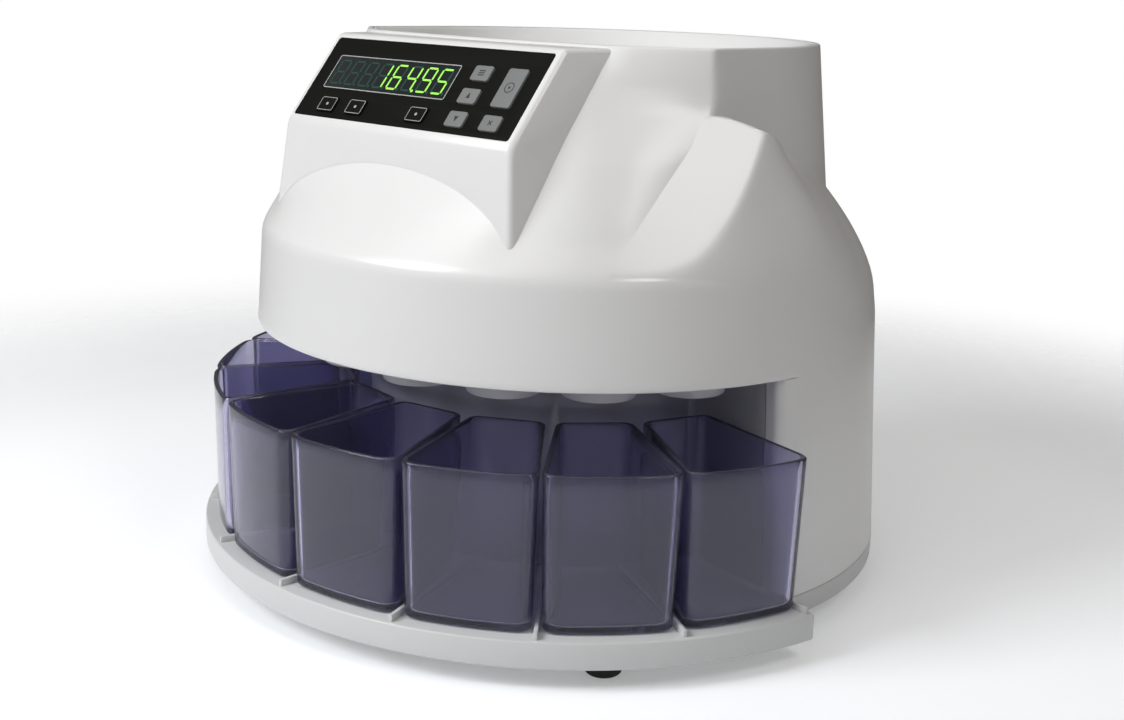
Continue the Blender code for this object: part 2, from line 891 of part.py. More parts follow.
def make_cups():
    middle = (cup_outer_radius + cup_inner_radius) / 2
    for index, angle in enumerate(cup_angles()):
        mesh = mesh_from(f"coin_cup_{index + 1}", build_cup)
        floor_face = max(mesh.polygons, key=lambda face: len(face.vertices))
        if floor_face.normal.z > 0:
            mesh.flip_normals()
        cup = add_object(f"coin_cup_{index + 1}", mesh)
        cup.location = ray(angle, middle, base_top + fit_gap)
        cup.rotation_euler.z = angle
        solidify(cup, cup_wall)
        finish(cup, "smoke")


def make_sorting_plate():
    """A steel disc with one wider slot after another along the coins' path."""
    radius = room_radius_at(plate_bottom) - plate_edge_gap
    holes = [circle(shaft_radius + running_gap + bearing_wall + fit_gap, 24)]
    outer = chute_radius + slot_reach
    for index, angle in enumerate(cup_angles()):
        inner = outer - slot_smallest - slot_growth * index
        start, end = angle - slot_half_angle, angle + slot_half_angle
        holes.append(arc(outer, start, end, 4) + arc(inner, end, start, 4))
    for angle in post_angles()[2:]:
        holes.append(circle(screw_radius + fit_gap, 12, ray(angle, post_circle, 0.0)[:2]))
    for angle in post_angles()[:2]:
        holes.append(circle(pin_radius + fit_gap, 12, ray(angle, post_circle, 0.0)[:2]))
    made = plate("sorting_plate", circle(radius, 48), plate_bottom, plate_bottom + plate_thickness, holes)
    top = plate_bottom + plate_thickness
    for index, angle in enumerate(post_angles()[2:]):
        wide = screw_head_radius + fit_gap + cut_overrun
        narrow = screw_radius + fit_gap
        head = screw_head_radius - screw_radius
        profile = ((0.0, top + cut_overrun), (wide, top + cut_overrun), (narrow, top - head), (0.0, top - head))
        sink = turned(f"countersink_{index}", profile, 12)
        sink.location = ray(angle, post_circle, 0.0)
        cut(made, sink)
    return finish(made, "steel")


def post_angles():
    return [math.radians(turn) for turn in (-45, 45, 135, -135)]


def make_screws():
    top = plate_bottom + plate_thickness - screw_head_drop
    head = screw_head_radius - screw_radius
    low = top - screw_length
    profile = ((0.0, top), (screw_head_radius, top), (screw_radius, top - head), (screw_radius, low), (0.0, low))
    for name, angle in zip(("plate_screw_right", "plate_screw_left"), post_angles()[2:]):
        screw = turned(name, profile, 12)
        screw.location = ray(angle, post_circle, 0.0)
        finish(screw, "steel")


def make_chassis():
    """A plate on four posts that carries the shaft, the motor and the sorting plate."""
    front = bay_back_radius - bay_wall - chassis_front_gap
    turn = bay_half_angle + math.radians(20)
    outline = arc(front, -turn, turn, 18) + arc(chassis_rear_radius, turn, 2 * math.pi - turn, 14)
    bore = shaft_radius + running_gap + bearing_wall + fit_gap
    drive = circle(pinion_shaft_radius + 2 * fit_gap, 16, (0.0, gear_spacing()))
    high = chassis_bottom + chassis_thickness
    made = plate("chassis", outline, chassis_bottom, high, [circle(bore, 24), drive])
    for index, angle in enumerate(post_angles()):
        place = ray(angle, post_circle, 0.0)[:2]
        join(made, rod(f"post_{index}", post_radius, base_top + fit_gap, plate_bottom - fit_gap, 12, place))
        if index < 2:
            pin_top = plate_bottom + plate_thickness - screw_head_drop
            join(made, rod(f"pin_{index}", pin_radius, chassis_bottom, pin_top, 12, place))
        else:
            low = plate_bottom + plate_thickness - screw_head_drop - screw_length - fit_gap
            cut(made, rod(f"screw_hole_{index}", screw_radius + fit_gap, low, lip_height, 12, place))
    return finish(made, "steel")


def gear_spacing():
    return gear_module * (gear_teeth + pinion_teeth) / 2


def gear_outline(teeth, turn, radii_shares):
    """Involute flanks, with the backlash shared by both gears."""
    pitch = gear_module * teeth / 2
    base = pitch * math.cos(pressure_angle)

    def flank(radius):
        lean = math.acos(min(base / radius, 1.0))
        return math.tan(lean) - lean

    half_pitch = math.pi / (2 * teeth) - tooth_backlash / (4 * pitch)
    points = []
    for tooth in range(teeth):
        middle = 2 * math.pi * tooth / teeth + turn
        side = []
        for share in radii_shares:
            radius = pitch + share * gear_module
            side.append((radius, half_pitch + flank(pitch) - flank(radius)))
        for radius, spread in side:
            points.append((radius * math.cos(middle - spread), radius * math.sin(middle - spread)))
        for radius, spread in reversed(side):
            points.append((radius * math.cos(middle + spread), radius * math.sin(middle + spread)))
    return points


def make_gears():
    low = chassis_bottom + chassis_thickness + gear_lift
    high = low + gear_thickness
    gap_turn = math.pi / 2 + math.pi / gear_teeth
    outline = gear_outline(gear_teeth, gap_turn, (-tooth_root_share, tooth_top_share))
    gear = plate("drive_gear", outline, low, high)
    hub = shaft_radius + fit_gap + gear_hub_wall
    join(gear, rod("gear_hub", hub, low, low + gear_hub_height, 24))
    cut(gear, rod("gear_bore", shaft_radius + fit_gap, shaft_bottom, lip_height, 24))
    finish(gear, "gear_plastic")
    outline = gear_outline(pinion_teeth, -math.pi / 2, (-tooth_root_share, 0.0, tooth_top_share))
    pinion = plate("motor_pinion", outline, 0.0, gear_thickness)
    pinion.location.y = gear_spacing()
    pinion.location.z += low
    stub_low = chassis_bottom - fit_gap - pinion_shaft_depth
    stub = rod("pinion_shaft", pinion_shaft_radius, stub_low, low + gear_thickness / 2, 16, (0.0, gear_spacing()))
    join(pinion, stub)
    return finish(pinion, "brass")


def make_motor():
    place = (0.0, gear_spacing())
    top = chassis_bottom - fit_gap
    low = top - gearbox_height
    gearbox = rod("gearbox", gearbox_radius, low, top, 28, place)
    bore_low = top - pinion_shaft_depth - fit_gap
    cut(gearbox, rod("gearbox_bore", pinion_shaft_radius + fit_gap, bore_low, lip_height, 16, place))
    finish(gearbox, "steel")
    motor = rod("drive_motor", motor_radius, low - fit_gap - motor_height, low - fit_gap, 24, place)
    return finish(motor, "steel")


def make_shaft():
    radius = shaft_radius
    top = disc_top() + cap_height / 2
    collar_low = chassis_bottom + chassis_thickness + fit_gap * 2 + bearing_flange_thickness
    shaft = rod("main_shaft", radius, shaft_bottom, top, 24)
    finish(shaft, "steel")
    bore = shaft_radius + running_gap
    body = bore + bearing_wall
    flange = body + bearing_flange
    seat = chassis_bottom + chassis_thickness + fit_gap
    low = seat - bearing_depth
    profile = ((bore, collar_low - fit_gap), (flange, collar_low - fit_gap), (flange, seat), (body, seat), (body, low), (bore, low))
    finish(turned("lower_bearing", profile, 24), "brass")
    seat = plate_bottom - fit_gap
    high = plate_bottom + plate_thickness - fit_gap
    low = seat - bearing_flange_thickness
    profile = ((bore, high), (body, high), (body, seat), (flange, seat), (flange, low), (bore, low))
    finish(turned("upper_bearing", profile, 24), "brass")


def rotor_bottom():
    return plate_bottom + plate_thickness + rotor_gap


def disc_bottom():
    return rotor_bottom() + rotor_hub_height + fit_gap


def disc_top():
    return disc_bottom() + disc_thickness


def make_rotor():
    """Blades between the disc's holes, which push the coins round the plate."""
    low = rotor_bottom()
    reach = room_radius_at(plate_bottom) - rotor_edge_gap
    half = rotor_blade_width / 2
    outline = []
    for blade in range(disc_hole_count):
        turn = 2 * math.pi * (blade + 0.5) / disc_hole_count
        along = Vector((math.cos(turn), math.sin(turn)))
        aside = Vector((-along.y, along.x))
        outline += [along * reach - aside * half, along * reach + aside * half, along * half + aside * half]
    rotor = plate("sorting_rotor", outline, low, low + rotor_blade_height)
    join(rotor, rod("rotor_hub", rotor_hub_radius, low - rotor_gap / 2, low + rotor_hub_height, 24))
    cut(rotor, rod("rotor_bore", shaft_radius + fit_gap, shaft_bottom, lip_height, 24))
    finish(rotor, "black_plastic")
    holes = [circle(shaft_radius + fit_gap, 24)]
    for index in range(disc_hole_count):
        turn = 2 * math.pi * index / disc_hole_count
        holes.append(circle(disc_hole_radius, 12, (disc_hole_circle * math.cos(turn), disc_hole_circle * math.sin(turn))))
    disc = plate("hopper_disc", circle(disc_radius, 48), disc_bottom(), disc_top(), holes)
    finish(disc, "light_grey")
    low = disc_top() + fit_gap
    bore = shaft_radius + fit_gap
    bore_top = disc_top() + cap_height / 2 + fit_gap
    profile = (
        (0.0, low + cap_height),
        (cap_radius * cap_crown_share, low + cap_height * cap_shoulder_share),
        (cap_radius, low + cap_height * cap_side_share),
        (cap_radius, low),
        (bore, low),
        (bore, bore_top),
        (0.0, bore_top),
    )
    return finish(turned("hub_cap", profile, 24), "black_plastic")


def make_bowl():
    """A funnel from the D-shaped lip to the round throat about the hopper disc."""
    top = lip_height - bowl_lip_drop
    inset = housing_wall + fit_gap
    throat = disc_radius + throat_gap + bowl_wall

    def build(work):
        angles = [2 * math.pi * step / bowl_columns for step in range(bowl_columns)]
        rings = [[ray(angle, throat, throat_height - throat_collar) for angle in angles]]
        for share in reversed(bowl_row_shares):
            row = []
            for angle in angles:
                rim = hopper_outline_radius(angle, top, inset)
                sag = bowl_sag_share * math.sin(math.pi * share) * (rim - throat)
                row.append(ray(angle, rim + (throat - rim) * share - sag, top + (throat_height - top) * share))
            rings.append(row)
        loft(work, rings)

    mesh = mesh_from("hopper_bowl", build)
    side = mesh.polygons[0]
    if side.normal.dot(Vector((side.center.x, side.center.y, 0.0))) < 0:
        mesh.flip_normals()
    bowl = add_object("hopper_bowl", mesh)
    solidify(bowl, bowl_wall)
    return finish(bowl, "white")


def make_pod():
    pod = pod_wedge("control_pod", 0.0, 0.0)
    cut(pod, pod_wedge("pod_hollow", pod_wall, pod_face_wall))
    cut(pod, housing_core("housing_core", fit_gap))
    width = panel_width + 2 * fit_gap
    height = panel_height + 2 * fit_gap
    depth = panel_thickness + fit_gap
    corner = panel_corner + fit_gap
    recess = plate("panel_recess", rounded_box(width, height, corner), -depth, cut_overrun, parent=face_frame)
    cut(pod, recess)
    inner_size = (panel_width - 2 * panel_ledge, panel_height - 2 * panel_ledge)
    cut(pod, plate("panel_hole", rounded_box(*inner_size, panel_corner), -pod_face_wall - cut_overrun, cut_overrun, parent=face_frame))
    return finish(pod, "white")


def display_board_width():
    return panel_width - 2 * display_board_side_margin


def make_panel():
    """The black panel, its window, the display behind it and the board."""
    window = (window_across, window_up)
    holes = [rounded_box(window_width, window_height, panel_corner, window)]
    for _, across, up, width, height in keys:
        holes.append(rounded_box(width + 2 * fit_gap, height + 2 * fit_gap, key_corner + fit_gap, (across, up)))
    outline = rounded_box(panel_width, panel_height, panel_corner)
    panel = plate("panel_overlay", outline, -panel_thickness, 0.0, holes, parent=face_frame)
    finish(panel, "panel_black")
    inner = rounded_box(window_width - 2 * fit_gap, window_height - 2 * fit_gap, panel_corner, window)
    pane = plate("display_window", inner, -window_thickness, 0.0, parent=face_frame)
    finish(pane, "window")
    led_top = -panel_thickness - fit_gap
    size = Vector((window_width + 2 * display_margin, window_height + 2 * display_margin, 0.0))
    size.z = board_drop + led_top - fit_gap
    centre = Vector((*window, led_top - size.z / 2))
    display = block("led_display", size, centre, parent=face_frame)
    finish(display, "black_plastic")
    board_size = Vector((display_board_width(), display_board_low + display_board_high, board_thickness))
    board_up = (display_board_high - display_board_low) / 2
    board = block("display_board", board_size, Vector((0.0, board_up, -board_drop - board_thickness / 2)), parent=face_frame)
    return finish(board, "board_green")


def make_keys():
    for name, across, up, width, height in keys:
        flange_top = -panel_thickness - fit_gap
        cap = plate(name, rounded_box(width, height, key_corner), flange_top - key_flange_thickness / 2, key_proud, parent=face_frame)
        cap.location.x, cap.location.y = across, up
        flange_size = Vector((width + 2 * key_flange, height + 2 * key_flange, key_flange_thickness))
        flange_centre = Vector((across, up, flange_top - key_flange_thickness / 2))
        join(cap, block(f"{name}_flange", flange_size, flange_centre, parent=face_frame))
        stem_low = -board_drop + key_travel + fit_gap
        join(cap, rod(f"{name}_stem", key_stem_radius, stem_low, flange_top, 12, (across, up), parent=face_frame))
        finish(cap, "key_grey")


def make_electronics():
    floor = base_top + fit_gap
    supply_centre = Vector((*supply_place, floor + supply_size.z / 2))
    supply = block("power_supply", supply_size, supply_centre)
    finish(supply, "steel")
    size = Vector((board_thickness, main_board_length, main_board_height))
    board = block("main_board", size, Vector((*main_board_place, floor + main_board_height / 2)))
    finish(board, "board_green")
    size = Vector((*sensor_board_size, board_thickness))
    place = ray(sensor_board_angle, sensor_board_radius, plate_bottom - fit_gap - board_thickness / 2)
    sensor = block("coin_sensor_board", size, place)
    sensor.rotation_euler.z = sensor_board_angle
    return finish(sensor, "board_green")


def rear_panel_face():
    """Y of the rear panel's outer face, just inside the round wall at the panel's sides."""
    half = rear_opening_width / 2 + rear_panel_margin
    inner = band_radius_at(rear_opening_low + rear_panel_height) - housing_wall
    return math.sqrt(inner**2 - half**2) - 2 * fit_gap


def connector_places():
    half = rear_opening_width / 2
    middle = rear_opening_low + rear_opening_height / 2
    places = {}
    for name, share in (("inlet", inlet_place_share), ("switch", switch_place_share), ("port", port_place_share)):
        places[name] = Vector((share * half, middle))
    return places


def rear_frame():
    """A frame on the rear panel's outer face: X to the left seen from behind, Y up, Z outwards."""
    made = bpy.data.objects.new("rear_frame", None)
    made.parent = drum_axis
    made.location.y = rear_panel_face()
    made.rotation_euler = (math.pi / 2, 0.0, math.pi)
    parts.objects.link(made)
    return made


def socket(name, size, place, depth, wall, frame, finish_name):
    """A connector body through the panel with a flange outside it and an open cavity."""
    seat = fit_gap
    body = plate(name, rounded_box(*size, wall / 2, place), -depth, seat + connector_flange_thickness / 2, parent=frame)
    flange = rounded_box(size.x + 2 * connector_flange, size.y + 2 * connector_flange, wall, place)
    join(body, plate(f"{name}_flange", flange, seat, seat + connector_flange_thickness, parent=frame))
    cavity = rounded_box(size.x - 2 * wall, size.y - 2 * wall, wall / 2, place)
    cut(body, plate(f"{name}_cavity", cavity, wall - depth, seat + cut_overrun, parent=frame))
    return finish(body, finish_name)


def make_rear_panel():
    frame = rear_frame()
    places = connector_places()
    width = rear_opening_width + 2 * rear_panel_margin
    middle = (0.0, rear_strip_top + fit_gap + rear_panel_height / 2)
    sizes = {"inlet": inlet_size, "switch": switch_size, "port": port_size}
    holes = []
    for name, place in places.items():
        size = sizes[name] + Vector((2 * fit_gap, 2 * fit_gap))
        holes.append(rounded_box(*size, panel_corner, place))
    outline = rounded_box(width, rear_panel_height, panel_corner, middle)
    panel = plate("rear_panel", outline, -rear_panel_thickness, 0.0, holes, parent=frame)
    finish(panel, "light_grey")
    socket("power_inlet", inlet_size, places["inlet"], inlet_depth, inlet_wall, frame, "black_plastic")
    socket("data_port", port_size, places["port"], port_depth, port_wall, frame, "steel")
    socket("power_switch_body", switch_size, places["switch"], switch_depth, switch_wall, frame, "black_plastic")
    make_rocker(frame, places["switch"])


def make_rocker(frame, place):
    """A rocker with a shallow V across its front, turning about its own width."""
    half = switch_size.y / 2 - switch_wall - 2 * fit_gap - rocker_rise
    width = switch_size.x - 2 * switch_wall - 2 * fit_gap
    outline = [(-half, 0.0), (-half, rocker_rise), (0.0, rocker_rise / 2), (half, rocker_rise), (half, 0.0)]
    drop = [math.pi * step / 6 for step in range(1, 6)]
    outline += [(rocker_radius * math.cos(turn), -rocker_depth * math.sin(turn)) for turn in drop]
    rocker = plate("power_rocker", outline, -width / 2, width / 2, parent=frame)
    rocker.rotation_euler = (math.pi / 2, 0.0, math.pi / 2)
    rocker.rotation_euler.rotate_axis("Z", rocker_tilt)
    rocker.location = (place.x, place.y, fit_gap + connector_flange_thickness)
    return finish(rocker, "black_plastic")


make_base()
make_feet()
make_housing()
make_bay_wall()
make_spout_plate()
make_chutes()
make_cups()
make_chassis()
make_sorting_plate()
make_screws()
make_gears()
make_motor()
make_shaft()
make_rotor()
make_bowl()
make_pod()
make_panel()
make_keys()
make_electronics()
make_rear_panel()
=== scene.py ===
import json
import math

import bmesh
import bpy
import numpy as np
from mathutils import Matrix, Vector


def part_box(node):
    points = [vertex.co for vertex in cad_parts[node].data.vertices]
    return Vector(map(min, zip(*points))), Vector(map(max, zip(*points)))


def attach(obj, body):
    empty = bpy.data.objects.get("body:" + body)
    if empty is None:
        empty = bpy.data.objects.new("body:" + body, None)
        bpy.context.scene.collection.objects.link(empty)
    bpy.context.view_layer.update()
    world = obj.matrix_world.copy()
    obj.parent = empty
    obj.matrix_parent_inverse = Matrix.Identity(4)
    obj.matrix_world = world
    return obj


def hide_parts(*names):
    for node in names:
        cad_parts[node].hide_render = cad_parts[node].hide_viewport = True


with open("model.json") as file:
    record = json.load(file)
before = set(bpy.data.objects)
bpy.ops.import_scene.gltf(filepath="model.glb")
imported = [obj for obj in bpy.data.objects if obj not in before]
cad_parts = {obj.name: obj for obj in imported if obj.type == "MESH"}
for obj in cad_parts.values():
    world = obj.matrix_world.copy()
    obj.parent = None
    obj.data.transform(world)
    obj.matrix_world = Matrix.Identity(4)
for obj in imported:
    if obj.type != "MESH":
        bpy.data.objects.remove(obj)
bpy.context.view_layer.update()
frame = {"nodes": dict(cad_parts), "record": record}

shaftLow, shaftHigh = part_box("main_shaft")
drumY = (shaftLow[1] + shaftHigh[1]) / 2  # the drum axis, where every ring is centred
mm = 0.001

# Housing sizes are in millimetres, angles in degrees from the front
housing = {
    "wall": 2.6, "bandRadius": 151.3, "bandBottom": 117.6, "taper": 0.054, "crease": 163.7,
    "domeRoot": 135.0,
    "lip": 254.3, "frontDrop": 80.0, "frontFlatten": 351.0, "frontPower": 1.74, "frontSlope": 1.3,
    "facetAcross": 80.0, "facetBulge": 2.9, "bulgeTop": 238.0, "facetStart": 14.0, "facetEdge": 6.0,
    "shoulderStart": 48.8, "shoulderFacing": 54.0, "shoulderSlope": 0.513, "shoulderTop": 226.0,
    "valleyAcross": 0.051, "valleyBack": 0.952, "valleyShift": 0.45,
    "hopperRadius": 112.3, "hopperTaper": 0.104, "hopperSetback": 7.8,
    "creaseEnd": 62.0, "domeFull": 110.0, "columnStart": 84.0, "columnBottom": 19.8, "returnAngle": 80.5,
    "returnDepth": 10.0, "ridgeSoft": 1.0, "edgeSoft": 1.4, "creaseSoft": 2.4, "rimSoft": 1.0,
    "underSlope": 0.6,
    "smoothFrom": 20.0, "smoothTo": 112.0,
    "shoulderDraft": 0.28, "ledgeSlope": 8.0, "ledgeSoft": 4.0, "cornerSpread": 10.0, "cornerReach": 6.0,
    "spreadStart": 200.0, "spreadRise": 16.0, "valleyRise": 8.0, "facetLead": 12.0, "bulgeFade": 30.0,
    "edgeRise": 6.0, "edgeLeast": 0.02, "shoulderFade": 11.0, "edgeStart": 73.0, "boxyEnd": 80.0,
    "domeStart": 95.0,
    "cornerLine": ((226, 70.2), (230, 69.4), (236, 69.4), (242, 70.1), (248, 70.9), (254.3, 71.6)),
    "ridgeLine": ((163.7, 59.4), (167.8, 62.4), (177.1, 67), (186.6, 70.7), (196.2, 73.7), (205.9, 76.4),
                  (214.6, 78.8), (222, 80.8), (254.3, 88)),
    "domeEdges": ((60, 0.70), (75.3, 0.6965), (87.8, 0.5916), (100.9, 0.448), (109.8, 0.345), (124, 0.257),
                  (180, 0.158)),
    "domePowers": ((60, 1.3), (68, 1.4), (71.5, 1.61), (75.5, 2.3), (80, 3.1), (88, 2.8), (98, 2.1),
                   (110, 1.65), (180, 1.65)),
}


def addObject(name, data):
    made = bpy.data.objects.new(name, data)
    bpy.context.scene.collection.objects.link(made)
    return made


def addMesh(name, points=(), faces=()):
    mesh = bpy.data.meshes.new(name)
    mesh.from_pydata([tuple(p) for p in points], [], faces)
    return addObject(name, mesh)


def fillMesh(piece, work):
    work.to_mesh(piece.data)
    work.free()
    return piece


def tidyMesh(piece, doubles=0.00001, outward=True):
    work = bmesh.new()
    work.from_mesh(piece.data)
    bmesh.ops.remove_doubles(work, verts=work.verts, dist=doubles)
    if outward:
        bmesh.ops.recalc_face_normals(work, faces=work.faces)
    return fillMesh(piece, work)


def gridFaces(tall, wide, closed):
    # quads between neighbouring points of a grid, row after row
    faces = []
    for i in range(tall - 1):
        for j in range(wide if closed else wide - 1):
            k = (j + 1) % wide
            faces.append((i * wide + j, i * wide + k, (i + 1) * wide + k, (i + 1) * wide + j))
    return faces


def turnOutward(piece, index=0):
    # turns the faces away from the drum axis, judged by one of them
    side = piece.data.polygons[index]
    if side.normal.dot(side.center - Vector((0, drumY, side.center.z))) < 0:
        piece.data.flip_normals()


def smoothShade(piece, angle=35):
    piece.data.shade_smooth()
    piece.data.set_sharp_from_angle(angle=math.radians(angle))
    return piece


def evaluatedMesh(piece):
    # the piece's final mesh, in world place
    bpy.context.view_layer.update()
    graph = bpy.context.evaluated_depsgraph_get()
    mesh = bpy.data.meshes.new_from_object(piece.evaluated_get(graph))
    mesh.transform(piece.matrix_world)
    return mesh


def applyModifiers(piece):
    # the piece keeps its evaluated mesh, on an object at the origin
    mesh = evaluatedMesh(piece)
    piece.modifiers.clear()
    piece.data = mesh
    piece.parent = None
    piece.matrix_world = Matrix.Identity(4)
    return piece


def drumPoint(angle, radius, height):
    # world place of a point given in degrees from the front and millimetres
    turn = math.radians(angle)
    return Vector((radius * math.sin(turn) * mm, drumY - radius * math.cos(turn) * mm, height * mm))


def solidify(piece, thickness, offset=-1.0):
    wall = piece.modifiers.new("wall", "SOLIDIFY")
    wall.thickness = thickness
    wall.offset = offset
    wall.use_even_offset = True
    return piece


def bevel(piece, width, segments=3, angle=50):
    edge = piece.modifiers.new("edge", "BEVEL")
    edge.width = width
    edge.segments = segments
    edge.limit_method = "ANGLE"
    edge.angle_limit = math.radians(angle)
    edge.harden_normals = False
    return piece


def thicken(piece, values):
    # a sheet becomes a wall with softened edges
    solidify(piece, values["wall"] * mm)
    bevel(piece, values["edge"] * mm, segments=values["edgeSteps"], angle=60)
    return applyModifiers(piece)


def boolean(piece, other, operation="DIFFERENCE"):
    change = piece.modifiers.new("cut", "BOOLEAN")
    change.operation = operation
    change.solver = "EXACT"
    change.object = other
    applyModifiers(piece)
    bpy.data.objects.remove(other)
    return piece


def flatPiece(name, outline, low, high, holes=(), edge=0.0, place=Matrix.Identity(4)):
    # a flat outline in metres with holes and rounded edges, made from a filled curve
    curve = bpy.data.curves.new(name, "CURVE")
    curve.dimensions = "2D"
    curve.fill_mode = "BOTH"
    curve.extrude = (high - low) / 2 - edge
    curve.bevel_depth = edge
    curve.bevel_resolution = 2
    curve.offset = -edge
    for points in (outline, *holes):
        spline = curve.splines.new("POLY")
        spline.points.add(len(points) - 1)
        spline.use_cyclic_u = True
        for point, at in zip(spline.points, points):
            point.co = (at[0], at[1], 0.0, 1.0)
    made = addObject(name, curve)
    made.matrix_world = place @ Matrix.Translation((0, 0, (low + high) / 2))
    mesh = evaluatedMesh(made)
    bpy.data.objects.remove(made)
    return tidyMesh(addObject(name, mesh))


def roundedBox(width, height, corner, centre=(0.0, 0.0), steps=6):
    points = []
    for quarter, (across, up) in enumerate(((1, 1), (-1, 1), (-1, -1), (1, -1))):
        middle = (centre[0] + across * (width / 2 - corner), centre[1] + up * (height / 2 - corner))
        for step in range(steps + 1):
            turn = math.pi / 2 * (quarter + step / steps)
            points.append((middle[0] + corner * math.cos(turn), middle[1] + corner * math.sin(turn)))
    return points


def circlePoints(radius, steps, centre=(0.0, 0.0)):
    turns = [2 * math.pi * step / steps for step in range(steps)]
    return [(centre[0] + radius * math.cos(turn), centre[1] + radius * math.sin(turn)) for turn in turns]


def turned(name, profile, steps=64, centre=(0.0, 0.0)):
    # a profile of (radius, height) in metres turned about a vertical axis
    closed = profile[0][0] > 0
    points, faces = [], []
    count = len(profile)
    for step in range(steps):
        turn = 2 * math.pi * step / steps
        points += [(centre[0] + r * math.cos(turn), centre[1] + r * math.sin(turn), z) for r, z in profile]
    for step in range(steps):
        nextStep = (step + 1) % steps
        for i in range(count if closed else count - 1):
            j = (i + 1) % count
            faces.append((step * count + i, step * count + j, nextStep * count + j, nextStep * count + i))
    piece = tidyMesh(addMesh(name, points, faces), doubles=0.000002)
    return smoothShade(piece)


def bend(start, at, end, steps):
    # a soft corner from start to end, drawn towards the point between them
    shares = [step / steps for step in range(steps + 1)]
    return [start * (1 - t) ** 2 + at * 2 * t * (1 - t) + end * t * t for t in shares]


def roundedProfile(corners, radius, steps=3):
    # a closed or open profile whose inner corners are rounded
    points = [corners[0]]
    for before, corner, after in zip(corners, corners[1:], corners[2:]):
        at = Vector(corner)
        toStart, toEnd = Vector(before) - at, Vector(after) - at
        reach = min(radius, toStart.length * 0.45, toEnd.length * 0.45)
        start, end = at + toStart.normalized() * reach, at + toEnd.normalized() * reach
        points += [tuple(point) for point in bend(start, at, end, steps)]
    points.append(corners[-1])
    return points


# Shader groups
def addNode(tree, kind, sockets=None, **settings):
    # a socket takes a plain value, or the output that feeds it
    node = tree.nodes.new(kind)
    for key, value in settings.items():
        setattr(node, key, value)
    for key, value in (sockets or {}).items():
        if isinstance(value, bpy.types.NodeSocket):
            tree.links.new(value, node.inputs[key])
        else:
            node.inputs[key].default_value = value
    return node


def mathOutput(tree, operation, *values):
    return addNode(tree, "ShaderNodeMath", dict(enumerate(values)), operation=operation).outputs[0]


def newGroup(name, values):
    # a tuple makes a colour socket and a number a plain one; each group puts out colour, gloss and relief
    tree = bpy.data.node_groups.new(name, "ShaderNodeTree")
    for label, value in values.items():
        kind = "NodeSocketColor" if isinstance(value, tuple) else "NodeSocketFloat"
        tree.interface.new_socket(label, in_out="INPUT", socket_type=kind).default_value = value
    for label, kind in (("Colour", "Color"), ("Roughness", "Float"), ("Height", "Float")):
        tree.interface.new_socket(label, in_out="OUTPUT", socket_type="NodeSocket" + kind)
    return tree, tree.nodes.new("NodeGroupInput").outputs


def mouldedGroup():
    # fine moulding grain, faint mottling and a soft change of gloss
    tree, given = newGroup("mouldedSurface", {
        "Colour": (0.8, 0.8, 0.8, 1), "Roughness": 0.3, "Grain Scale": 900.0, "Grain Height": 0.3,
        "Mottle": 0.03, "Gloss Change": 0.06})
    where = addNode(tree, "ShaderNodeTexCoord").outputs["Object"]
    fine = {"Vector": where, "Scale": given["Grain Scale"], "Detail": 3}
    grain = addNode(tree, "ShaderNodeTexNoise", fine)
    broad = addNode(tree, "ShaderNodeTexNoise", {"Vector": where, "Scale": 14, "Detail": 4})
    centred = mathOutput(tree, "SUBTRACT", broad.outputs["Fac"], 0.5)
    bright = mathOutput(tree, "ADD", mathOutput(tree, "MULTIPLY", centred, given["Mottle"]), 1)
    colour = addNode(tree, "ShaderNodeVectorMath", {0: given["Colour"], "Scale": bright}, operation="SCALE")
    gloss = mathOutput(tree, "MULTIPLY_ADD", centred, given["Gloss Change"], given["Roughness"])
    height = mathOutput(tree, "MULTIPLY", grain.outputs["Fac"], given["Grain Height"])
    addNode(tree, "NodeGroupOutput", {"Colour": colour.outputs[0], "Roughness": gloss, "Height": height})
    return tree


ringLook = {"shade": 0.25, "gloss": 0.2}


def brushedGroup():
    # turned metal: fine rings about the drum axis
    tree, given = newGroup("brushedMetal", {
        "Colour": (0.6, 0.6, 0.6, 1), "Roughness": 0.3, "Ring Scale": 2500.0, "Depth": 0.2})
    where = addNode(tree, "ShaderNodeTexCoord").outputs["Object"]
    centred = addNode(tree, "ShaderNodeMapping", {"Vector": where, "Location": (0, -drumY, 0)}).outputs[0]
    apart = addNode(tree, "ShaderNodeSeparateXYZ", {0: centred}).outputs
    flat = addNode(tree, "ShaderNodeCombineXYZ", {"X": apart["X"], "Y": apart["Y"]}).outputs[0]
    radius = addNode(tree, "ShaderNodeVectorMath", {0: flat}, operation="LENGTH").outputs["Value"]
    fine = {"W": mathOutput(tree, "MULTIPLY", radius, given["Ring Scale"]), "Scale": 1, "Detail": 2}
    rings = addNode(tree, "ShaderNodeTexNoise", fine, noise_dimensions="1D")
    ring = mathOutput(tree, "SUBTRACT", rings.outputs["Fac"], 0.5)
    bright = mathOutput(tree, "MULTIPLY_ADD", ring, ringLook["shade"], 1)
    colour = addNode(tree, "ShaderNodeVectorMath", {0: given["Colour"], "Scale": bright}, operation="SCALE")
    gloss = mathOutput(tree, "MULTIPLY_ADD", ring, ringLook["gloss"], given["Roughness"])
    height = mathOutput(tree, "MULTIPLY", rings.outputs["Fac"], given["Depth"])
    addNode(tree, "NodeGroupOutput", {"Colour": colour.outputs[0], "Roughness": gloss, "Height": height})
    return tree


moulded = mouldedGroup()
brushed = brushedGroup()


finishes = {}


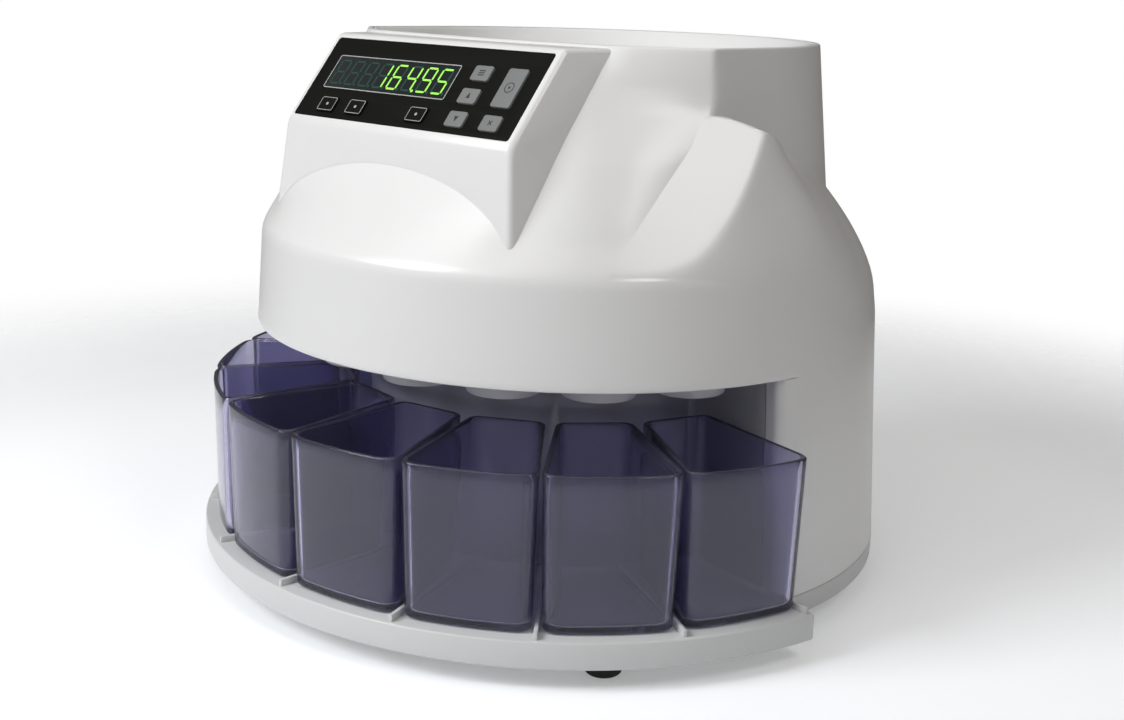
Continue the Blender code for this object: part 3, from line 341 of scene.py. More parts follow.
def surface(name, group, values, metallic=0.0, **direct):
    # colour, gloss and relief come from the group, the rest is set on the shader
    made = bpy.data.materials.new(name)
    made.use_nodes = True
    tree = made.node_tree
    shader = tree.nodes["Principled BSDF"].inputs
    effect = addNode(tree, "ShaderNodeGroup", values, node_tree=group).outputs
    bump = addNode(tree, "ShaderNodeBump", {"Distance": 0.02 * mm, "Height": effect["Height"]})
    tree.links.new(effect["Colour"], shader["Base Color"])
    tree.links.new(effect["Roughness"], shader["Roughness"])
    tree.links.new(bump.outputs["Normal"], shader["Normal"])
    shader["Metallic"].default_value = metallic
    for key, value in direct.items():
        shader[key.replace("_", " ")].default_value = value
    finishes[name] = made


def plastic(name, colour, roughness, grain=900.0, height=0.3, mottle=0.03, **direct):
    values = {"Colour": (*colour, 1), "Roughness": roughness, "Grain Scale": grain, "Grain Height": height,
              "Mottle": mottle}
    surface(name, moulded, values, **direct)


def metal(name, colour, roughness, scale=2500.0, depth=0.2, **direct):
    values = {"Colour": (*colour, 1), "Roughness": roughness, "Ring Scale": scale, "Depth": depth}
    surface(name, brushed, values, metallic=1.0, **direct)


plastic("whiteShell", (0.80, 0.80, 0.80), 0.32, height=0.15, Coat_Weight=0.2, Coat_Roughness=0.16)
plastic("trayGrey", (0.62, 0.63, 0.63), 0.38, height=0.3)
plastic("bayGrey", (0.42, 0.43, 0.45), 0.16, height=0.1, Coat_Weight=0.3, Coat_Roughness=0.08)
plastic("rubber", (0.016, 0.016, 0.017), 0.75, grain=1800.0, height=1.0, mottle=0.3)
plastic("panelBlack", (0.008, 0.008, 0.0072), 0.5, grain=2200.0, height=0.25, mottle=0.1,
        Specular_IOR_Level=0.05)
plastic("keyGrey", (0.20, 0.205, 0.205), 0.5, grain=2200.0, height=0.5, mottle=0.06,
        Specular_IOR_Level=0.25)
plastic("keyBlack", (0.008, 0.008, 0.0072), 0.5, grain=2200.0, height=0.4, mottle=0.1,
        Specular_IOR_Level=0.05)
plastic("printGrey", (0.42, 0.43, 0.43), 0.5)
plastic("printDark", (0.02, 0.02, 0.02), 0.5)
plastic("blackPlastic", (0.022, 0.022, 0.024), 0.42, grain=1300.0, height=0.6, mottle=0.15)
plastic("boardGreen", (0.015, 0.11, 0.05), 0.35, grain=500.0, height=0.3, mottle=0.2)
plastic("gearNylon", (0.72, 0.70, 0.62), 0.42, grain=700.0, height=0.3)
metal("steel", (0.56, 0.56, 0.57), 0.28)
metal("zincSteel", (0.50, 0.51, 0.53), 0.4, scale=900.0)
metal("brass", (0.68, 0.48, 0.20), 0.3)
plastic("smokyCup", (0.47, 0.46, 0.62), 0.04, grain=300.0, height=0.1, mottle=0.02,
        Transmission_Weight=0.95, IOR=1.46)
plastic("darkWindow", (0.010, 0.016, 0.016), 0.12, height=0.05, Coat_Weight=0.5, Coat_Roughness=0.05)
plastic("ghostSegment", (0.012, 0.050, 0.044), 0.4)
plastic("litSegment", (0.20, 0.55, 0.08), 0.4, Emission_Color=(0.34, 0.80, 0.08, 1),
        Emission_Strength=0.75)


def dress(piece, finish, body="machine", nodes=()):
    # gives a piece its material and its body, and hides the CAD nodes that it stands for
    piece.data.materials.clear()
    piece.data.materials.append(finishes[finish])
    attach(piece, body)
    if nodes:
        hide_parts(*nodes)
    return piece


# Housing form
def softMin(a, b, soft):
    blend = np.clip(0.5 + 0.5 * (b - a) / soft, 0, 1)
    return b * (1 - blend) + a * blend - soft * blend * (1 - blend)


def ease(share):
    return share * share * (3 - 2 * share)


def bandRadius(z):
    return housing["bandRadius"] + housing["taper"] * (housing["bandBottom"] - z)


def riseShare(z):
    return np.maximum(z - housing["crease"], 0) / (housing["lip"] - housing["crease"])


def tableValue(at, name):
    # a table read along smoothed lines between its rows
    rows = np.array(housing[name]).T
    return sum(np.interp(np.abs(at) + shift, *rows) for shift in (-2.4, -1.2, 0, 1.2, 2.4)) / 5


def wallRadius(angle, z, inset=0.0):
    # the hopper wall in plan: round behind, straight sides in front
    turn = np.radians(np.abs(angle))
    wall = housing["hopperRadius"] + housing["hopperTaper"] * (housing["lip"] - z) - inset
    offset = housing["hopperSetback"]
    rounded = -offset * np.cos(turn) + np.sqrt(wall**2 - (offset * np.sin(turn)) ** 2)
    straight = wall / np.maximum(np.sin(turn), wall / (2 * housing["bandRadius"]))
    return np.where(-rounded * np.cos(turn) > offset, rounded, straight)


def frontArc(z, inset=0.0):
    # the crease's circle drawn back with height, and flatter towards the lip
    rise = riseShare(z)
    flatter = housing["frontFlatten"] * rise ** housing["frontPower"]
    arc = bandRadius(housing["crease"]) + flatter - inset * housing["frontSlope"]
    return arc, flatter + housing["frontDrop"] * rise


def frontRadius(angle, z, inset=0.0):
    arc, centre = frontArc(z, inset)
    turn = np.radians(angle)
    reach = arc**2 - (centre * np.sin(turn)) ** 2
    radius = -centre * np.cos(turn) + np.sqrt(np.maximum(reach, 0))
    return np.where(reach > 0, radius, 2 * housing["bandRadius"])


def shoulderRadius(angle, z):
    # the flat facet at the front end of each side shoulder
    aside = math.radians(housing["shoulderFacing"] - housing["shoulderStart"])
    near = bandRadius(housing["crease"]) * math.cos(aside)
    above, fade = np.maximum(z - housing["shoulderTop"], 0), housing["shoulderFade"]
    rise = np.minimum(z, housing["shoulderTop"]) - housing["crease"] + fade * (1 - np.exp(-above / fade))
    reach = near - housing["shoulderSlope"] * rise
    turn = np.radians(np.abs(angle) - housing["shoulderFacing"])
    return reach / np.maximum(np.cos(turn), reach / (2 * housing["bandRadius"]))


def cornerAngle(z):
    # the valley's line and the corner's line, drawn into one curve where they meet
    spread = housing["cornerSpread"] * np.clip((z - housing["spreadStart"]) / housing["spreadRise"], 0, 1)
    return sum(cornerLine(z + share * spread) for share in (-1, -0.5, 0, 0.5, 1)) / 5


def cornerLine(z):
    # the valley beside the shoulder, and above it the hopper's front corner
    start, radius = math.radians(housing["shoulderStart"]), bandRadius(housing["crease"])
    rise = z - housing["crease"]
    across = radius * math.sin(start) + housing["valleyAcross"] * rise
    valley = np.degrees(np.arctan2(across, radius * math.cos(start) - housing["valleyBack"] * rise))
    valley = valley - housing["valleyShift"] * np.clip(rise / housing["valleyRise"], 0, 1)
    return np.where(z < housing["shoulderTop"], valley, np.interp(z, *np.array(housing["cornerLine"]).T))


def cornerRadius(z, inset=0.0):
    corner = cornerAngle(z)
    return np.minimum(shoulderRadius(corner, z) - inset, wallRadius(corner, z, inset))


def facetRadius(angle, z, inset=0.0):
    # the nearly flat face between the pod's side and the corner
    arc, centre = frontArc(z, inset)
    startX = housing["facetAcross"] - inset
    startY = np.sqrt(arc**2 - startX**2) - centre
    corner = cornerAngle(z)
    reach = cornerRadius(z, inset)
    endX, endY = reach * np.sin(np.radians(corner)), reach * np.cos(np.radians(corner))
    turn = np.radians(np.abs(angle))
    across = np.sin(turn) * (endY - startY) - np.cos(turn) * (endX - startX)
    radius = (startX * endY - endX * startY) / np.minimum(across, -1.0)
    first = np.degrees(np.arctan2(startX, startY))
    along = np.clip((np.abs(angle) - first) / np.maximum(corner - first, 1), 0, 1)
    bulge = housing["facetBulge"] * np.clip((housing["bulgeTop"] - z) / housing["bulgeFade"], 0, 1)
    radius = radius + bulge * 4 * along * (1 - along)
    share = ease(np.clip((z - housing["crease"]) / housing["facetStart"], 0, 1))
    whole = 2 * housing["bandRadius"]
    return np.where(np.abs(angle) < first - housing["facetLead"], whole, np.minimum(radius, whole)), share


def plainFace(angle, z, inset=0.0):
    front = frontRadius(angle, z, inset)
    facet, share = facetRadius(angle, z, inset)
    return front + (softMin(front, facet, housing["facetEdge"]) - front) * share


def faceRadius(angle, z, inset=0.0):
    # the face, drawn to the corner's line over its last few degrees
    corner = cornerAngle(z)
    near = np.clip(1 - (corner - np.abs(angle)) / housing["cornerReach"], 0, 1)
    lack = cornerRadius(z, inset) - plainFace(corner, z, inset)
    return plainFace(angle, z, inset) + lack * ease(near)


def hopperRadius(angle, z, inset=0.0):
    share = np.clip((z - housing["shoulderTop"]) / housing["edgeRise"], housing["edgeLeast"], 1)
    return softMin(wallRadius(angle, z, inset), faceRadius(angle, z, inset), housing["edgeSoft"] * share)


def domeRadius(angle, z):
    away = np.abs(angle)
    step = np.clip((away - housing["creaseEnd"]) / (housing["domeFull"] - housing["creaseEnd"]), 0, 1)
    crease, lip = housing["crease"], housing["lip"]
    root = crease + (housing["domeRoot"] - crease) * ease(step)
    top = crease + tableValue(angle, "domeEdges") * (lip - crease)
    drop = bandRadius(root) - wallRadius(angle, top)
    along = np.clip((z - root) / (top - root), 0, 1)
    curve = bandRadius(root) - drop * along ** tableValue(angle, "domePowers")
    cone = bandRadius(crease) - housing["shoulderDraft"] * (z - crease)
    ledge = wallRadius(angle, z) + housing["ledgeSlope"] * np.maximum(top - z, 0)
    boxy = softMin(cone, ledge, housing["ledgeSoft"])
    share = np.clip((away - housing["boxyEnd"]) / (housing["domeStart"] - housing["boxyEnd"]), 0, 1)
    curve = boxy + (curve - boxy) * ease(share)
    under = bandRadius(root) + (root - z) * housing["underSlope"]
    return np.where(z <= root, under, np.where(z >= top, 0.0, curve))


def sideRadius(angle, z):
    return softMin(domeRadius(angle, z), shoulderRadius(angle, z), housing["ridgeSoft"])


def traceEdge():
    # the height of the shoulder's top edge at each angle
    angles = np.linspace(60, 180, 481)
    heights = np.linspace(housing["crease"], housing["lip"] - 4, 900)
    aa, zz = np.meshgrid(angles, heights)
    wide = sideRadius(aa, zz) > wallRadius(aa, zz) + 0.1
    last = len(heights) - 1 - np.argmax(wide[::-1], axis=0)
    return angles, np.where(wide.any(axis=0), heights[last], 0)


edgeAngles, edgeHeights = traceEdge()


def edgeHeight(angle):
    return np.interp(np.maximum(np.abs(angle), housing["edgeStart"]), edgeAngles, edgeHeights)


def columnAngle(base, z):
    # moves a column of the grid sideways, so that one keeps to the corner and one to the ridge
    first, second = cornerAngle(z), tableValue(z, "ridgeLine")
    away = np.abs(base)
    low, high = housing["smoothFrom"], housing["smoothTo"]
    start, end = housing["shoulderStart"], housing["ridgeLine"][0][1]
    before = low + (away - low) * (first - low) / (start - low)
    between = first + (away - start) * (second - first) / (end - start)
    beyond = second + (away - end) * (high - second) / (high - end)
    angle = np.where(away < start, before, np.where(away < end, between, beyond))
    return np.copysign(np.where((away < low) | (away > high), away, angle), base)


def housingRadius(angle, z):
    wall, corner = wallRadius(angle, z), cornerAngle(z)
    beyond = (np.abs(angle) > corner) & (z < housing["shoulderTop"])
    hopper = np.where(beyond, np.minimum(wall, shoulderRadius(angle, z)), hopperRadius(angle, z))
    side = np.where(np.abs(angle) < corner, 0, sideRadius(angle, z))
    under = np.maximum(housing["crease"] - z, 0) * housing["underSlope"]
    below = np.minimum(bandRadius(housing["crease"]) + under, domeRadius(angle, z))
    inner = np.where(z <= housing["crease"], below, np.maximum(hopper, side))
    return softMin(inner, bandRadius(z), housing["creaseSoft"])


def housingColumns():
    # angles of the grid's columns, close together at the valley and the ridge
    near = np.array([-0.8, -0.4, -0.2, -0.1, 0, 0.1, 0.2, 0.4, 0.8])
    valley, ridge = housing["shoulderStart"], housing["ridgeLine"][0][1]
    half = [np.arange(0, 40, 1.6), np.arange(40, 48, 0.8), valley + near,
            np.arange(valley + 1.3, ridge - 1.1, 0.8), ridge + near, np.arange(ridge + 1.6, 112, 1.1),
            np.arange(112, 180, 2.0)]
    half = np.concatenate(half)
    return np.concatenate([-half[:0:-1], half, [180.0]])


def housingGrid():
    # angles and heights of the grid: columns keep to the lines, and one row to the shoulder's top edge
    columns = housingColumns()
    crease, lip, soft = housing["crease"], housing["lip"], housing["rimSoft"]
    top = np.full_like(columns, crease + 50)
    for step in range(40):
        top = (top + np.maximum(edgeHeight(columnAngle(columns, top)), crease + 9)) / 2
    low = np.concatenate([housing["bandBottom"] + np.array([0, 0.3, 1.0]), np.linspace(121, 154, 9),
                          crease + np.array([-6, -4.2, -3, -2, -1.2, -0.5, 0, 0.5, 1.2, 2, 3, 4.2, 6])])
    rows = [np.full_like(columns, z) for z in low]
    rows += [low[-1] + share * (top - low[-1]) for share in
             [*np.linspace(0, 0.93, 26)[1:], 0.945, 0.96, 0.97, 0.98, 0.986, 0.992, 0.996, 1]]
    rows += [top + rise for rise in (0.25, 0.6, 1.2)]
    rows += [top + 1.2 + share * (lip - soft - top - 1.2) for share in np.linspace(0, 1, 20)[1:]]
    rows += [np.full_like(columns, lip + down) for down in (-0.6, -0.3, -0.1, 0)]
    heights = np.array(rows)
    return columnAngle(np.broadcast_to(columns, heights.shape), heights), heights


def gridSurface(name, angles, heights, radii, closed):
    # quads over a grid of angles and heights, radii in millimetres
    angles = np.broadcast_to(angles, radii.shape)
    heights = np.broadcast_to(heights, radii.shape)
    points = [drumPoint(*at) for at in zip(angles.ravel(), radii.ravel(), heights.ravel())]
    return addMesh(name, points, gridFaces(*radii.shape, closed))


def upperShell():
    # the shell's outer side, with rounded edges at the lip and under the band
    angles, heights = housingGrid()
    radii = housingRadius(angles, heights)
    soft = housing["rimSoft"]
    near = np.clip(1 - (housing["lip"] - heights) / soft, 0, 1)
    lower = np.clip(1 - (heights - housing["bandBottom"]) / soft, 0, 1)
    lower = lower * (np.abs(angles) < housing["columnStart"])
    edge = soft * (2 - np.sqrt(1 - near**2) - np.sqrt(1 - lower**2))
    return angles, heights, radii - edge, housing["wall"] - edge


def makeCore(name, outward):
    # the housing's form as a closed body, a little larger, to cut the pod with
    angles, heights = housingGrid()
    radii = housingRadius(angles, heights) + outward
    angles, radii = np.vstack([angles, angles[-1:]]), np.vstack([radii, radii[-1:]])
    heights = np.vstack([heights, heights[-1:] + 4])
    core = gridSurface(name, angles, heights, radii, closed=True)
    work = bmesh.new()
    work.from_mesh(core.data)
    bmesh.ops.holes_fill(work, edges=[e for e in work.edges if e.is_boundary])
    bmesh.ops.recalc_face_normals(work, faces=work.faces)
    return fillMesh(core, work)


def lowerShell():
    # the rear column's plan at each height, with a rounded front edge and a return into the cup bay
    start, depth = housing["columnStart"], housing["returnDepth"]
    turn, soft = start - housing["returnAngle"], 0.55 * depth
    columns = housingColumns()
    behind = np.concatenate([columns[columns > start - 0.01], columns[columns < 0.01 - start] + 360])
    ends = [(turn * math.sin(t), soft * (1 - math.cos(t))) for t in np.linspace(0, math.pi / 2, 9)[1:]]
    ends += [(turn, deep) for deep in np.linspace(soft, depth, 4)[1:]]
    plan = [(start - along, deep) for along, deep in ends[::-1]]
    plan += [(angle, 0.0) for angle in behind]
    plan += [(360 - start + along, deep) for along, deep in ends]
    heights = np.linspace(housing["columnBottom"], housing["bandBottom"], 24)
    angles = np.array([[angle for angle, deep in plan]] * len(heights))
    radii = np.array([[bandRadius(z) - deep for angle, deep in plan] for z in heights])
    tall = np.repeat(heights[:, None], len(plan), axis=1)
    extra = len(ends)
    tall[-1, :extra] -= 0.15
    tall[-1, -extra:] -= 0.15
    return angles, tall, radii


def planNormals(points):
    # outward directions of a curve in plan
    ahead = [points[min(i + 1, len(points) - 1)] - points[max(i - 1, 0)] for i in range(len(points))]
    return [Vector((step.y, -step.x, 0)).normalized() for step in ahead]


def housingShell():
    # outer side, inner side a wall's thickness within, and the strips between their borders
    work = bmesh.new()
    inward = work.verts.layers.float_vector.new("inward")

    def addGrid(places, directions, closed):
        rings = []
        for row, turns in zip(places, directions):
            ring = [work.verts.new(place) for place in row]
            for vert, turn in zip(ring, turns):
                vert[inward] = turn
            rings.append(ring)
        for low, high in zip(rings, rings[1:]):
            for j in range(len(low) if closed else len(low) - 1):
                k = (j + 1) % len(low)
                work.faces.new((low[j], low[k], high[k], high[j]))

    angles, heights, radii, walls = upperShell()
    places = [[drumPoint(*at) for at in zip(*row)] for row in zip(angles, radii, heights)]
    axis = drumPoint(0, 0, 0)
    directions = [[axis - drumPoint(a, wall, 0) for a, wall in zip(*row)] for row in zip(angles, walls)]
    addGrid(places, directions, closed=True)
    angles, heights, radii = lowerShell()
    places = [[drumPoint(*at) for at in zip(*row)] for row in zip(angles, radii, heights)]
    directions = [[-normal * (housing["wall"] * mm) for normal in planNormals(row)] for row in places]
    addGrid(places, directions, closed=False)
    bmesh.ops.remove_doubles(work, verts=work.verts, dist=0.02 * mm)
    twins = {vert: work.verts.new(vert.co + vert[inward]) for vert in list(work.verts)}
    borders = [edge for edge in work.edges if edge.is_boundary]
    for loop in [edge.link_loops[0] for edge in borders]:
        first, second = loop.vert, loop.link_loop_next.vert
        work.faces.new((second, first, twins[first], twins[second]))
    outer = [face for face in work.faces if all(vert in twins for vert in face.verts)]
    for face in outer:
        work.faces.new([twins[vert] for vert in reversed(face.verts)])
    bmesh.ops.recalc_face_normals(work, faces=work.faces)
    return fillMesh(addMesh("housingShell"), work)


def facePlace():
    # the control face's own frame: X across, Y up the face, Z out of it, centred on the panel
    low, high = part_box("panel_overlay")
    joint = next(j for j in frame["record"]["behaviour"]["joints"] if j["name"] == "start_key_press")
    out = -Vector(joint["axis"])
    up = Vector((0, out.z, -out.y))
    middle = (Vector(low) + Vector(high)) / 2
    middle += out * (0.7 * mm)
    place = Matrix((Vector((1, 0, 0)), up, out)).transposed().to_4x4()
    place.translation = middle
    return place


face = facePlace()
print("Measured the frame: drum axis y", round(drumY, 5), "face centre",
      [round(v, 4) for v in face.translation])


def boxCutter(name, size, centre, place=Matrix.Identity(4)):
    work = bmesh.new()
    bmesh.ops.create_cube(work, size=1.0)
    bmesh.ops.scale(work, vec=size, verts=work.verts)
    bmesh.ops.translate(work, vec=centre, verts=work.verts)
    bmesh.ops.transform(work, matrix=place, verts=work.verts)
    return fillMesh(addMesh(name), work)


rearOpening = {"width": 84, "height": 44, "low": 28, "reach": 60}
vents = {"length": 40, "height": 3, "pitch": 7, "count": 5, "low": 85.5}
boardHole = {"across": 129, "low": -21, "high": 17, "depth": 46}


def makeHousing():
    joined = housingShell()
    rear = drumPoint(180, bandRadius(50), 0)
    middle = (rearOpening["low"] + rearOpening["height"] / 2) * mm
    size = Vector((rearOpening["width"], rearOpening["reach"], rearOpening["height"])) * mm
    boolean(joined, boxCutter("opening", size, Vector((0, rear.y, middle))))
    size = Vector((vents["length"], rearOpening["reach"], vents["height"])) * mm
    slots = boxCutter("vents", size, Vector((0, rear.y, 0)))
    repeat = slots.modifiers.new("rows", "ARRAY")
    repeat.count = vents["count"]
    repeat.use_relative_offset = False
    repeat.use_constant_offset = True
    repeat.constant_offset_displace = (0, 0, vents["pitch"] * mm)
    slots.location.z = (vents["low"] + vents["height"] / 2) * mm
    boolean(joined, applyModifiers(slots))
    high, low = boardHole["high"], boardHole["low"]
    size = Vector((boardHole["across"], high - low, boardHole["depth"])) * mm
    hole = Vector((0, (high + low) / 2, 4 - boardHole["depth"] / 2)) * mm
    boolean(joined, boxCutter("board", size, hole, face))
    smoothShade(joined, 40)
    return dress(joined, "whiteShell", nodes=["housing"])


pod = {
    "halfWidth": 73.5, "halfHeight": 24.8, "wall": 2.5, "faceWall": 3.2, "chinDrop": 42, "chinAdvance": 3.5,
    "chinFlare": 4.5, "depth": 50, "flare": 0.26, "edge": 2.2, "recess": 1.5, "ledge": 2.0, "gap": 0.25,
    "clearance": 0.12, "cutLow": -8, "cutHigh": 4, "cutCorner": 1.5,
}
panel = {"width": 141, "height": 43.9, "thickness": 1.4, "corner": 1.5, "edge": 0.15}


def podPoints(inset, faceInset):
    # corners of the pod's wedge, in world metres
    points = []
    half = pod["halfWidth"] - inset
    for side in (-1, 1):
        top = face @ (Vector((side * half, pod["halfHeight"] - inset * 0.6, -faceInset)) * mm)
        low = face @ (Vector((side * half, -pod["halfHeight"] + inset * 0.3, -faceInset)) * mm)
        chin = low + Vector((side * pod["chinFlare"], -pod["chinAdvance"], -pod["chinDrop"])) * mm
        back = Vector((side * pod["depth"] * pod["flare"], pod["depth"], 0)) * mm
        points += [top, low, chin, top + back, chin + back]
    return points


def podWedge(name, inset, faceInset, edge=0.0):
    work = bmesh.new()
    for point in podPoints(inset, faceInset):
        work.verts.new(point)
    bmesh.ops.convex_hull(work, input=work.verts)
    bmesh.ops.dissolve_limit(work, angle_limit=math.radians(1), verts=work.verts, edges=work.edges)
    if edge:
        bmesh.ops.bevel(work, geom=work.edges[:], offset=edge, segments=5, profile=0.5, affect="EDGES")
    bmesh.ops.recalc_face_normals(work, faces=work.faces)
    return fillMesh(addMesh(name), work)


def makePod():
    piece = podWedge("controlPod", 0, 0, edge=pod["edge"] * mm)
    boolean(piece, podWedge("hollow", pod["wall"], pod["faceWall"]))
    boolean(piece, makeCore("core", pod["clearance"]))
    for label, grown, corner, low in (("recess", pod["gap"], panel["corner"], -pod["recess"]),
                                      ("through", -2 * pod["ledge"], pod["cutCorner"], pod["cutLow"])):
        outline = roundedBox((panel["width"] + grown) * mm, (panel["height"] + grown) * mm, corner * mm)
        boolean(piece, flatPiece(label, outline, low * mm, pod["cutHigh"] * mm, place=face))
    smoothShade(piece, 32)
    return dress(piece, "whiteShell", nodes=["control_pod"])


makeHousing()
print("Housing done")
makePod()
print("Pod done")

# Base
base = {"radius": 177.5, "bottom": 10, "top": 22, "stripTop": 19.5, "halfAngle": 80.5, "edge": 0.9,
        "skirt": 3, "plate": 3, "stripWidth": 18.5}
ribs = {"width": 1.8, "height": 3.0, "start": 101, "end": 176, "step": 20, "count": 9, "sunk": 1.0,
        "edge": 0.4, "endStart": 161, "endAngle": 79.4}


def arcPoints(radius, start, end, steps):
    return [tuple(drumPoint(start + (end - start) * s / steps, radius, 0))[:2] for s in range(steps + 1)]


def baseOutline(inset):
    rear = bandRadius(base["stripTop"]) - inset
    half = base["halfAngle"] - math.degrees(inset / base["radius"])
    return arcPoints(base["radius"] - inset, -half, half, 160) + arcPoints(rear, half, 360 - half, 200)


def makeBase():
    low, high, edge = base["bottom"] * mm, base["top"] * mm, base["edge"] * mm
    tray = flatPiece("baseTray", baseOutline(0), low, high, edge=edge)
    rear = bandRadius(base["stripTop"])
    half = base["halfAngle"]
    strip = arcPoints(base["radius"] + 3, half, 360 - half, 120)
    strip += arcPoints(rear - base["stripWidth"], 360 - half, half, 120)
    boolean(tray, flatPiece("strip", strip, base["stripTop"] * mm, 30 * mm))
    pocketTop = (base["stripTop"] - base["plate"]) * mm
    pocket = flatPiece("pocket", baseOutline(base["skirt"]), 0, pocketTop)
    boolean(tray, pocket)
    smoothShade(tray, 40)
    return dress(tray, "trayGrey", nodes=["base_tray"])


def radialRepeat(name, source, finish, count, stepAngle, firstAngle, radius):
    # Geometry Nodes: copies of a source piece in a fan about the drum axis
    tree = bpy.data.node_groups.new(name + "Fan", "GeometryNodeTree")
    settings = []
    for label, kind, value in (
            ("Source", "Object", source), ("Count", "Int", count),
            ("Step Angle", "Float", math.radians(stepAngle)),
            ("First Angle", "Float", math.radians(firstAngle)), ("Radius", "Float", radius),
            ("Axis Y", "Float", drumY), ("Material", "Material", finishes[finish])):
        socket = tree.interface.new_socket(label, in_out="INPUT", socket_type="NodeSocket" + kind)
        settings.append((socket.identifier, value))
    tree.interface.new_socket("Geometry", in_out="OUTPUT", socket_type="NodeSocketGeometry")
    given = tree.nodes.new("NodeGroupInput").outputs
    line = addNode(tree, "GeometryNodeMeshLine", {"Count": given["Count"]}).outputs[0]
    index = addNode(tree, "GeometryNodeInputIndex").outputs[0]
    turn = mathOutput(tree, "MULTIPLY_ADD", index, given["Step Angle"], given["First Angle"])
    across = mathOutput(tree, "MULTIPLY", mathOutput(tree, "SINE", turn), given["Radius"])
    ahead = mathOutput(tree, "MULTIPLY", mathOutput(tree, "COSINE", turn), given["Radius"])
    along = mathOutput(tree, "SUBTRACT", given["Axis Y"], ahead)
    place = addNode(tree, "ShaderNodeCombineXYZ", {"X": across, "Y": along}).outputs[0]
    points = addNode(tree, "GeometryNodeSetPosition", {"Geometry": line, "Position": place}).outputs[0]
    rotation = addNode(tree, "ShaderNodeCombineXYZ", {"Z": turn}).outputs[0]
    shape = addNode(tree, "GeometryNodeObjectInfo", {"Object": given["Source"]}).outputs["Geometry"]
    copies = addNode(tree, "GeometryNodeInstanceOnPoints",
                     {"Points": points, "Instance": shape, "Rotation": rotation}).outputs[0]
    real = addNode(tree, "GeometryNodeRealizeInstances", {0: copies}).outputs[0]
    painted = addNode(tree, "GeometryNodeSetMaterial", {"Geometry": real, "Material": given["Material"]})
    addNode(tree, "NodeGroupOutput", {0: painted.outputs[0]})
    piece = addMesh(name)
    fan = piece.modifiers.new("fan", "NODES")
    fan.node_group = tree
    for identifier, value in settings:
        fan[identifier] = value
    applyModifiers(piece)
    bpy.data.objects.remove(source)
    return piece


def ribFan(name, start, count, step, first):
    size = Vector((ribs["width"], ribs["end"] - start, ribs["height"] + ribs["sunk"])) * mm
    rib = boxCutter("rib", size, Vector((0, 0, (base["top"] + (ribs["height"] - ribs["sunk"]) / 2) * mm)))
    bevel(rib, ribs["edge"] * mm, segments=2)
    applyModifiers(rib)
    piece = radialRepeat(name, rib, "trayGrey", count, step, first, (start + ribs["end"]) / 2 * mm)
    return dress(smoothShade(piece), "trayGrey")


def makeRibs():
    inner = ribs["count"] - 2
    ribFan("trayRibs", ribs["start"], inner, ribs["step"], -ribs["step"] * (inner - 1) / 2)
    ribFan("endRibs", ribs["endStart"], 2, 2 * ribs["endAngle"], -ribs["endAngle"])


makeBase()
makeRibs()
print("Base done")

# Feet
foot = {"radius": 8.0, "neck": 7.2, "top": 9.7, "tread": 1.2, "stem": 3.0, "stemTop": 14.0}


def makeFeet():
    for name in ("front_right", "front_left", "rear_right", "rear_left"):
        low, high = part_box("foot_" + name)
        centre = ((low[0] + high[0]) / 2, (low[1] + high[1]) / 2)
        r, t = foot["radius"], foot["tread"]
        corners = [(0, 0.4), (r * 0.55, 0.4), (r * 0.6, 0), (r - t, 0), (r, t), (foot["neck"], foot["top"]),
                   (foot["stem"], foot["top"]), (foot["stem"], foot["stemTop"]), (0, foot["stemTop"])]
        profile = [(x * mm, z * mm) for x, z in roundedProfile(corners, 0.8)]
        pad = turned("footPad_" + name, profile, 48, centre)
        dress(pad, "rubber", nodes=["foot_" + name])


makeFeet()

# Cups
cup = {"count": 8, "step": 20, "outer": 172.7, "inner": 107.3, "outerWidth": 58.9, "innerWidth": 33.7,
       "rim": 89.8, "rise": 3.3, "wall": 2.2, "draft": 1.5, "corner": 6.5, "backCorner": 4.0, "floor": 22.3,
       "footSoft": 2.0, "lipSoft": 0.9, "base": 2.6}


cupAngles = [(index - (cup["count"] - 1) / 2) * cup["step"] for index in range(cup["count"])]


def cupRing(inset, height, rise):
    # cup plan at the front, in millimetres about the drum axis
    outer, inner = cup["outer"] - inset, cup["inner"] + inset
    half, back = cup["outerWidth"] / 2 - inset, cup["innerWidth"] / 2 - inset
    spread = math.asin(half / outer)
    turns = spread * np.linspace(-0.68, 0.68, 9)
    front = [Vector((outer * math.sin(turn), -outer * math.cos(turn))) for turn in turns]
    left = Vector((-outer * math.sin(spread), -outer * math.cos(spread)))
    right = Vector((-left.x, left.y))
    backRight, backLeft = Vector((back, -inner)), Vector((-back, -inner))

    def corner(before, at, after, radius):
        start = at + (before - at).normalized() * radius
        return bend(start, at, at + (after - at).normalized() * radius, 8)

    points = [
        *corner(backLeft, left, front[0], cup["corner"]), *front,
        *corner(front[-1], right, backRight, cup["corner"]),
        *corner(right, backRight, backLeft, cup["backCorner"]),
        *corner(backRight, backLeft, left, cup["backCorner"])]
    length = cup["outer"] - cup["inner"]
    return [Vector((p.x, p.y, height + rise * (cup["outer"] + p.y) / length)) for p in points]


